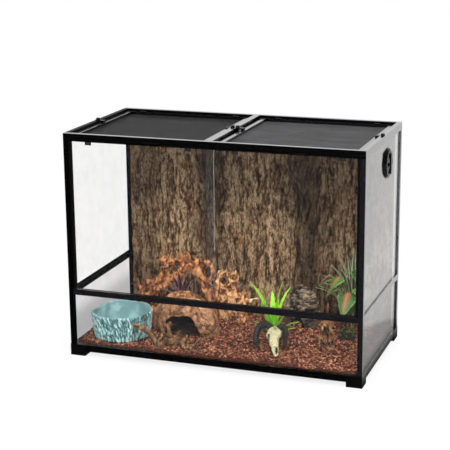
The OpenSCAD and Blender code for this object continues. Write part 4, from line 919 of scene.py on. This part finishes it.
worn_wood("loose_roots", "root_pieces", root_finish, "root_wood", root_limbs,
          anchor=(-333.5, -219, ground), cell=0.0014, wear=(0.02, 0.014, 0.0014, 0.0018), seed=75,
          twigs=2, twig_length=(0.006, 0.014))

# ---- Stump ----
# A small dry stump on three roots, grey-brown, with a thin stick behind it.

stump_finish = wood_finish("stump_wood", "140b06", "482d1c", "70492d", "a0784e", "d8b68a")
stump_limbs = [
    ([(-22, -4, dip), (-17, -2, 30), (-12, -2, 56), (-4, 0, 82)], (4.5, 5.5, 8, 13)),
    ([(22, -2, dip), (16, -2, 34), (12, -2, 58), (4, 0, 86)], (4.5, 5.5, 8, 13)),
    ([(-2, 14, dip), (-2, 8, 34), (0, 0, 70)], (5, 6, 11)),
    ([(6, -6, dip), (1, -6, 28), (-2, -2, 60)], (3, 3.5, 6)),
    ([(0, 0, 70), (3, 4, 118), (2, 6, 156)], (4, 3.5, 2.5)),
    ([(-8, -6, 62), (-16, -10, 70), (-20, -10, 78)], (8, 7, 6)),
]
worn_wood("stump_root", "stump", stump_finish, "stump_wood", stump_limbs,
          anchor=(303.5, -57, ground), cell=0.0015, wear=(0.02, 0.011, 0.0016, 0.003), seed=77,
          twigs=2, twig_length=(0.006, 0.014))

# ---- Ram skull ----
# A cast resin skull that leans back with its muzzle in the chips: cream bone, sockets painted black as
# shade, dark ringed horns. The bone is one skin round overlapping balls, with the sockets dented into it.


def dent(points, centre, size):
    """Pushes the points inside an ellipsoid out to its surface, on the side away from the skull's front, and
    returns them with how deep each one lies in the dent, from 0 to 1."""
    centre, size = np.asarray(centre, float), np.asarray(size, float)
    scaled = (points - centre) / size
    far = np.linalg.norm(scaled, axis=1)
    inside = np.clip(1 - far, 0, 1)
    pushed = points.copy()
    pushed[:, 1] += np.where(far < 1, size[1] * 1.6 * np.sqrt(np.clip(1 - far**2, 0, 1)), 0)
    return pushed, np.clip(inside * 3.5, 0, 1)


skull_place = np.array([160, -119, ground])


def ball(centre, size, sides=20):
    """A closed ellipsoid: circles stacked between two poles."""
    lift = np.linspace(-np.pi / 2, np.pi / 2, sides + 2)[1:-1, None]
    turn = np.linspace(0, 2 * np.pi, sides, endpoint=False)
    unit = xyz(np.cos(lift) * np.cos(turn), np.cos(lift) * np.sin(turn), np.sin(lift))
    vertices, faces = closed(unit, [[0, 0, -1], [0, 0, 1]])
    return (vertices * size + centre) / 1000, faces


skull_parts = [((-1, 4, 56), (21, 19, 19)), ((-13, -7, 50), (10, 10, 11)), ((12, -6, 51), (10, 10, 10)),
               ((1, -11, 42), (17, 14, 18)), ((6, -21, 30), (14, 11, 16)), ((13, -33, 17), (11, 10, 13)),
               ((18, -41, 7), (8.5, 8, 8)), ((-3, -2, 66), (14, 10, 8))]
vertices, faces, normals = fuse([ball(skull_place + centre, size) for centre, size in skull_parts], 0.0016)
hollow = np.zeros(len(vertices))
sockets = [((-14, -20, 48), (5, 10, 10.5)), ((24, -2, 50), (6, 7, 7)), ((19, -46, 19), (5.5, 10, 17))]
for centre, size in sockets:
    vertices, deep = dent(vertices, (skull_place + centre) / 1000, np.array(size) / 1000)
    hollow = np.maximum(hollow, deep)
vertices = vertices + normals * 0.0009 * noise(vertices, 0.008, 81, 3)[:, None]
bone_finish, tree, shader = material("bone", Specular_IOR_Level=0.4, Coat_Weight=0.1)
aged = cloud(tree, 170, 5, 0.65)
bone = ramp(aged, (0.3, "7c7452"), (0.44, "cec795"), (0.6, "e6e1b4"), (0.8, "f4f0d0"))
bone = blend_of(cloud(tree, 70, 3).span(0.58, 0.7) * 0.4, bone, "8a6a3c")
crown = axes(tree, "TexCoord", "Object")["Z"].span(0.105, 0.112) * cloud(tree, 90, 3).span(0.42, 0.55)
bone = blend_of(crown * 0.7, bone, "7a4a28")
# Painted shade: the dented sockets are coloured near black.
skin(shader, blend_of(mark(tree, "hollow"), bone, "060505"), aged, (0.45, 0.7), 0.0012)
piece("skull_bone", vertices, faces, bone_finish, "bone_resin", replaces=["ram_skull"], hollow=hollow)

horn_finish, tree, shader = material("horn", Specular_IOR_Level=0.45, Coat_Weight=0.2)
weathered = cloud(tree, 120, 4)
horn = ramp(mark(tree, "rise") * 0.5 + weathered * 0.5, (0.3, "070606"), (0.58, "191714"), (0.85, "3c382f"))
skin(shader, horn, weathered, (0.4, 0.6), 0.001)
horn_paths = [
    ("left", [(-8, 8, 66), (-30, 10, 77), (-50, 8, 66), (-58, 3, 42), (-56, 0, 18), (-46, -4, 2)],
     (10, 11, 11, 10, 8, 4)),
    ("right", [(8, 10, 66), (19, 17, 73), (27, 21, 62), (29, 22, 42), (27, 20, 18), (22, 17, 2)],
     (9, 9.5, 9, 8, 6, 3)),
]
horn_rings, horn_sides = 150, 28
ridge = 0.5 + 0.5 * np.sin(np.arange(horn_rings) * 1.15)
for side, path, radii in horn_paths:
    path, radii = (np.array(path) + skull_place) / 1000, np.array(radii) / 1000
    vertices, faces = tube(path, radii, horn_sides, horn_rings, (0, 1, 0.12))
    centre = curve(path, horn_rings)[:, None]
    rings = vertices[:-2].reshape(horn_rings, horn_sides, 3)
    rings = centre + (rings - centre) * (0.9 + 0.13 * ridge)[:, None, None]
    vertices[:-2] = rings.reshape(-1, 3)
    piece("skull_horn_" + side, vertices, faces, horn_finish, "bone_resin",
          rise=np.append(np.repeat(ridge, horn_sides), (0, 0)))

# ---- Bromeliad ----
# A moulded plant of bright green sword leaves in a rosette, each folded along its middle and saw-edged.


def leaf(path, widths, fold, count, across=7, saw=0.0, teeth=20, wave=0.0, face=(0, 0, 1)):
    """A leaf as an open grid: a smooth path, its half width along it, and a fold that lifts both edges. Teeth
    are a saw wave on the width. Returns points, the place along the leaf, and the place across it."""
    centre = curve(path, count)
    half = np.maximum(curve(np.asarray(widths, float)[:, None], count)[:, 0], 0.0003)
    along = np.gradient(centre, axis=0)
    along /= np.linalg.norm(along, axis=1)[:, None]
    aside = np.cross(along, face)
    aside /= np.linalg.norm(aside, axis=1)[:, None] + 1e-9
    up = np.cross(aside, along)
    t = np.linspace(0, 1, count)[:, None]
    s = np.linspace(-1, 1, across)
    toothed = 1 + saw * ((t * teeth) % 1 - 0.5) * (np.abs(s) > 0.99)
    reach = s * half[:, None] * toothed
    lift = np.abs(s) ** 1.3 * half[:, None] * fold + wave * half[:, None] * np.sin(9 * t * np.pi) * s**2
    points = centre[:, None] + aside[:, None] * reach[..., None] + up[:, None] * lift[..., None]
    return points, t * np.ones(across), np.abs(s) * np.ones((count, 1))


def foliage(name, leaves, finish, slot, thick, replaces=()):
    """Leaves joined into one piece and given their thickness. Each leaf's marks tell the finish where on the
    leaf it is, and its tone sets it apart from the others."""
    vertices, faces, marks, first = [], [], [], 0
    for (points, along, across), tone in leaves:
        rows, columns = points.shape[:2]
        faces.extend(grid_faces(rows, columns, first=first))
        vertices.append(points.reshape(-1, 3))
        marks.append(np.stack([along.ravel(), across.ravel(), np.full(rows * columns, tone)]))
        first += rows * columns
    along, across, tone = np.concatenate(marks, 1)
    made = piece(name, np.concatenate(vertices), faces, finish, slot, "case", replaces,
                 along=along, across=across, tone=tone)
    sheet = made.modifiers.new("thickness", "SOLIDIFY")
    sheet.thickness = thick
    sheet.offset = 0
    return made


def leaf_finish(name, deep, mid, pale, rim, rim_at=0.8, middle=None, middle_to=0.5):
    """A leaf's skin: streaks of three tones, a paler rim, and a coloured middle where the plant has one."""
    made, tree, shader = material(name, Specular_IOR_Level=0.5, Coat_Weight=0.35, Coat_Roughness=0.25)
    along, across = mark(tree, "along"), mark(tree, "across")
    speck = cloud(tree, 130, 3)
    shade = speck * 0.4 + (mark(tree, "tone") * 0.4 + along * 0.2)
    colour = blend_of(across.span(rim_at, 1.0), ramp(shade, (0.2, deep), (0.5, mid), (0.8, pale)), rim)
    if middle:
        mottled = cloud(tree, 210, 3, 0.6) * 0.9 + across
        inner = mottled.span(middle_to + 0.7, middle_to + 0.3) * along.span(0.97, 0.8)
        colour = blend_of(inner, colour, middle)
    vein = maths(tree, "PINGPONG", across * 0.3 + along * 0.7, 0.04)
    colour = blend_of(vein.span(0.011, 0.0) * 0.3, colour, deep)
    colour = blend_of(across.span(0.1, 0.0) * 0.4, colour, rim)
    skin(shader, colour, speck, (0.35, 0.55), 0.0006, vein * 16.0)
    return made


def arc(start, bend, end, count=7):
    """Points of a quadratic curve from start to end, drawn towards bend."""
    t = np.linspace(0, 1, count)[:, None]
    return (1 - t) ** 2 * np.array(start) + 2 * t * (1 - t) * np.array(bend) + t**2 * np.array(end)


def turned(points, degrees, place):
    """Points in millimetres turned about the upright axis, moved to a place, in metres."""
    x, y, z = np.transpose(points)
    return (xyz(*rotated(x, y, math.radians(degrees)), z) + place) / 1000


def rosette(tips, place, foot, bend, widths, tone_step, **shape):
    """Leaves from one place. Each has its turn, the reach and height of its tip, and its width; they share
    their foot, their bend as shares of reach and height, and half widths along them in millimetres."""
    leaves = []
    for turn_by, reach, rise, wide in tips:
        path = turned(arc(foot, (reach * bend[0], 0, rise * bend[1]), (reach, 0, rise)), turn_by, place)
        leaves.append((leaf(path, np.array(widths) * wide / 1000, **shape), (turn_by * tone_step) % 1))
    return leaves


# Turn, reach and height of each leaf's tip, and its width
sword_tips = [
    (180, 74, 182, 1.15), (20, 30, 189, 0.8), (48, 62, 164, 0.75), (110, 46, 150, 1), (140, 70, 96, 1),
    (-8, 87, 76, 0.9), (212, 62, 70, 1), (75, 34, 128, 1), (258, 26, 92, 0.9), (-38, 50, 84, 1),
    (160, 40, 120, 0.9), (5, 60, 110, 0.8), (195, 36, 140, 0.9), (-20, 84, 60, 0.5), (285, 14, 118, 0.8)
]
swords = rosette(sword_tips, (132, -41, ground), (4, 0, 4), (0.3, 0.75), [7, 9.5, 10, 9, 7, 4, 0.6], 0.37,
                 fold=0.42, count=60, saw=0.7, teeth=17)
bright_finish = leaf_finish("bright_leaf", "2c780a", "6cc414", "c0f446", "a8ea3c")
foliage("bromeliad_leaves", swords, bright_finish, "leaf_bright", 0.0009, ["bromeliad"])

# ---- Leafy plants ----
# One clump of moulded plants: dark strap leaves with cream edges, and spear leaves with red middles on
# stalks. A tuft of purple leaves, moulded in the same way, stands below the left driftwood.

plant_place = (337.5, 133.7, ground)
strap_tips = [
    (100, 16, 261), (60, 46, 250), (130, 50, 234), (20, 60, 212), (160, 84, 194), (-30, 60, 188),
    (175, 114, 132), (195, 118, 138), (215, 90, 161), (-60, 62, 166), (80, 30, 240), (145, 66, 216),
    (185, 96, 172), (110, 36, 226), (40, 50, 204), (205, 80, 182), (230, 58, 150), (-10, 50, 172),
    (-45, 56, 140), (255, 46, 190), (95, 30, 150), (170, 60, 120), (200, 66, 150), (235, 40, 120),
    (120, 60, 170), (150, 40, 200), (260, 56, 110), (190, 40, 196), (-70, 34, 120), (70, 62, 200)
]
straps = rosette([(*tip, 1) for tip in strap_tips], plant_place, (3, 0, 10), (0.25, 0.9),
                 [3, 4.5, 5, 4.8, 4, 2.6, 0.5], 0.61, fold=0.3, count=40, across=5)
strap_finish = leaf_finish("strap_leaf", "081509", "12300f", "2f6420", "dce0b4", 0.56)
foliage("strap_leaves", straps, strap_finish, "leaf_mixed", 0.0007, ["leafy_plants"])

# Where each leaf's stalk ends, the leaf's turn, its length and how far it hangs
spear_leaves = [
    ((2, -72, 144), -98, 74, 0.9), ((40, -66, 164), -60, 62, 0.62), ((-72, -6, 176), 200, 60, 0.62),
    ((-34, -40, 182), 235, 54, 0.62), ((20, -20, 204), -80, 54, 0.62), ((-50, -20, 150), 215, 52, 0.7)
]
spears, stalks = [], []
for (sx, sy, sz), turn_by, size, hang in spear_leaves:
    t = np.linspace(0, 1, 9)
    path = np.stack([size * (0.75 * t - 0.12), 0 * t, -size * hang * t * t], 1)
    width = (size * 0.44 * np.sin(np.pi * t**0.6) ** 0.8 + 0.3) / 1000
    place = np.array(plant_place) + (sx, sy, sz)
    spears.append((leaf(turned(path, turn_by, place), width, -0.22, 44, 13, wave=0.06), (turn_by * 0.37) % 1))
    stalk = (arc((0, 0, 6), (sx * 0.2, sy * 0.2, sz * 0.7), (sx, sy, sz), 6) + plant_place) / 1000
    stalks.append(tube(stalk, np.array([3, 2.4, 2, 1.8, 1.6, 1.4]) / 1000, 8, 20))
spear_finish = leaf_finish("spear_leaf", "0b220a", "1e4a18", "568c38", "8cb45c", 0.8, "b8604c", 0.2)
foliage("spear_leaves", spears, spear_finish, "leaf_mixed", 0.0008)
stalk_finish, tree, shader = material("stalk", Specular_IOR_Level=0.4)
rind = cloud(tree, 200, 4, stretch=(1, 1, 0.3))
skin(shader, ramp(rind, (0.3, "2c3a18"), (0.6, "5a6a2e"), (0.8, "8a8a4a")), rind, (0.5, 0.7), 0.0006)
piece("leaf_stalks", *joined(stalks), stalk_finish, "leaf_mixed")

# The tuft under the driftwood: turn, reach and height of each leaf's tip, and its width
tuft_tips = [
    (185, 50, 112, 1), (174, 30, 138, 1), (354, 20, 150, 1), (6, 50, 128, 1), (0, 34, 144, 1),
    (200, 42, 92, 1), (-15, 50, 96, 1), (180, 12, 155, 1), (190, 34, 104, 1.2), (-10, 34, 108, 1.2),
    (260, 10, 120, 1.3), (230, 24, 96, 1.4), (310, 26, 98, 1.4), (250, 30, 106, 1.4), (290, 30, 110, 1.4),
    (270, 40, 90, 1.4)
]
tuft_spikes = [
    (182, 46, 128, 0.7), (178, 20, 150, 0.7), (2, 42, 140, 0.7), (8, 10, 154, 0.7), (230, 30, 126, 0.8),
    (300, 32, 128, 0.8), (265, 34, 120, 0.8), (205, 56, 108, 0.8), (-12, 58, 112, 0.8)
]
for name, tips, colours in (
    ("tuft_leaves", tuft_tips, ("14070c", "2c1019", "481e2a", "5a2a3a")),
    ("tuft_spikes", tuft_spikes, ("4a2430", "7c4a58", "b08490", "c49aa4")),
):
    tuft = rosette(tips, (-205.5, 62.7, ground), (2, 0, 10), (0.3, 0.8), [4, 8, 9, 8, 5, 0.8], 0.61,
                   fold=0.3, count=36, across=5)
    foliage(name, tuft, leaf_finish(name[:-1], *colours), "leaf_mixed", 0.0008)

# ---- Mossy stone ----
# A low round stone, nearly black, with tufts of yellow-green moss over its top.

stone_low, stone_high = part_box("mossy_stone")
stone_middle = (stone_low + stone_high) / 2
stone_size = (stone_high - stone_low) / 2
stone_rings, stone_sides = 50, 110
lift = np.linspace(-0.12, np.pi / 2, stone_rings)[:, None]
turn = np.linspace(0, 2 * np.pi, stone_sides, endpoint=False)
unit = xyz(np.cos(lift) * np.cos(turn), np.cos(lift) * np.sin(turn), np.sin(lift))
stone = unit * (stone_size.x, stone_size.y, stone_size.z * 2)
tufts = np.clip(noise(stone, 0.006, 91, 2) * 2.6 - 0.3, 0, 1) * np.clip(unit[..., 2] * 2.2, 0, 1)
lumps = 0.94 + 0.05 * noise(stone, 0.03, 95, 2) + 0.012 * noise(stone, 0.006, 93, 3)
stone = stone * lumps[..., None] + unit * (tufts * 0.0026)[..., None]
stone = stone + (stone_middle.x, stone_middle.y, stone_low.z)
stone[-1] = stone[-1].mean(0)
vertices, faces = dome(stone)
moss_finish, tree, shader = material("moss_stone", Specular_IOR_Level=0.3)
wet = cloud(tree, 240, 5, 0.7)
rock = ramp(wet, (0.35, "0c0e09"), (0.55, "23261a"), (0.75, "45452f"))
moss = ramp(wet, (0.3, "262e0c"), (0.5, "5c6418"), (0.7, "98982e"))
skin(shader, blend_of(mark(tree, "tuft").span(0.25, 0.6), rock, moss), wet, (0.6, 0.9), 0.0025)
piece("mossy_rock", vertices, [*faces, list(range(stone_sides))[::-1]], moss_finish, "moss_stone",
      replaces=["mossy_stone"], tuft=dome_mark(tufts))
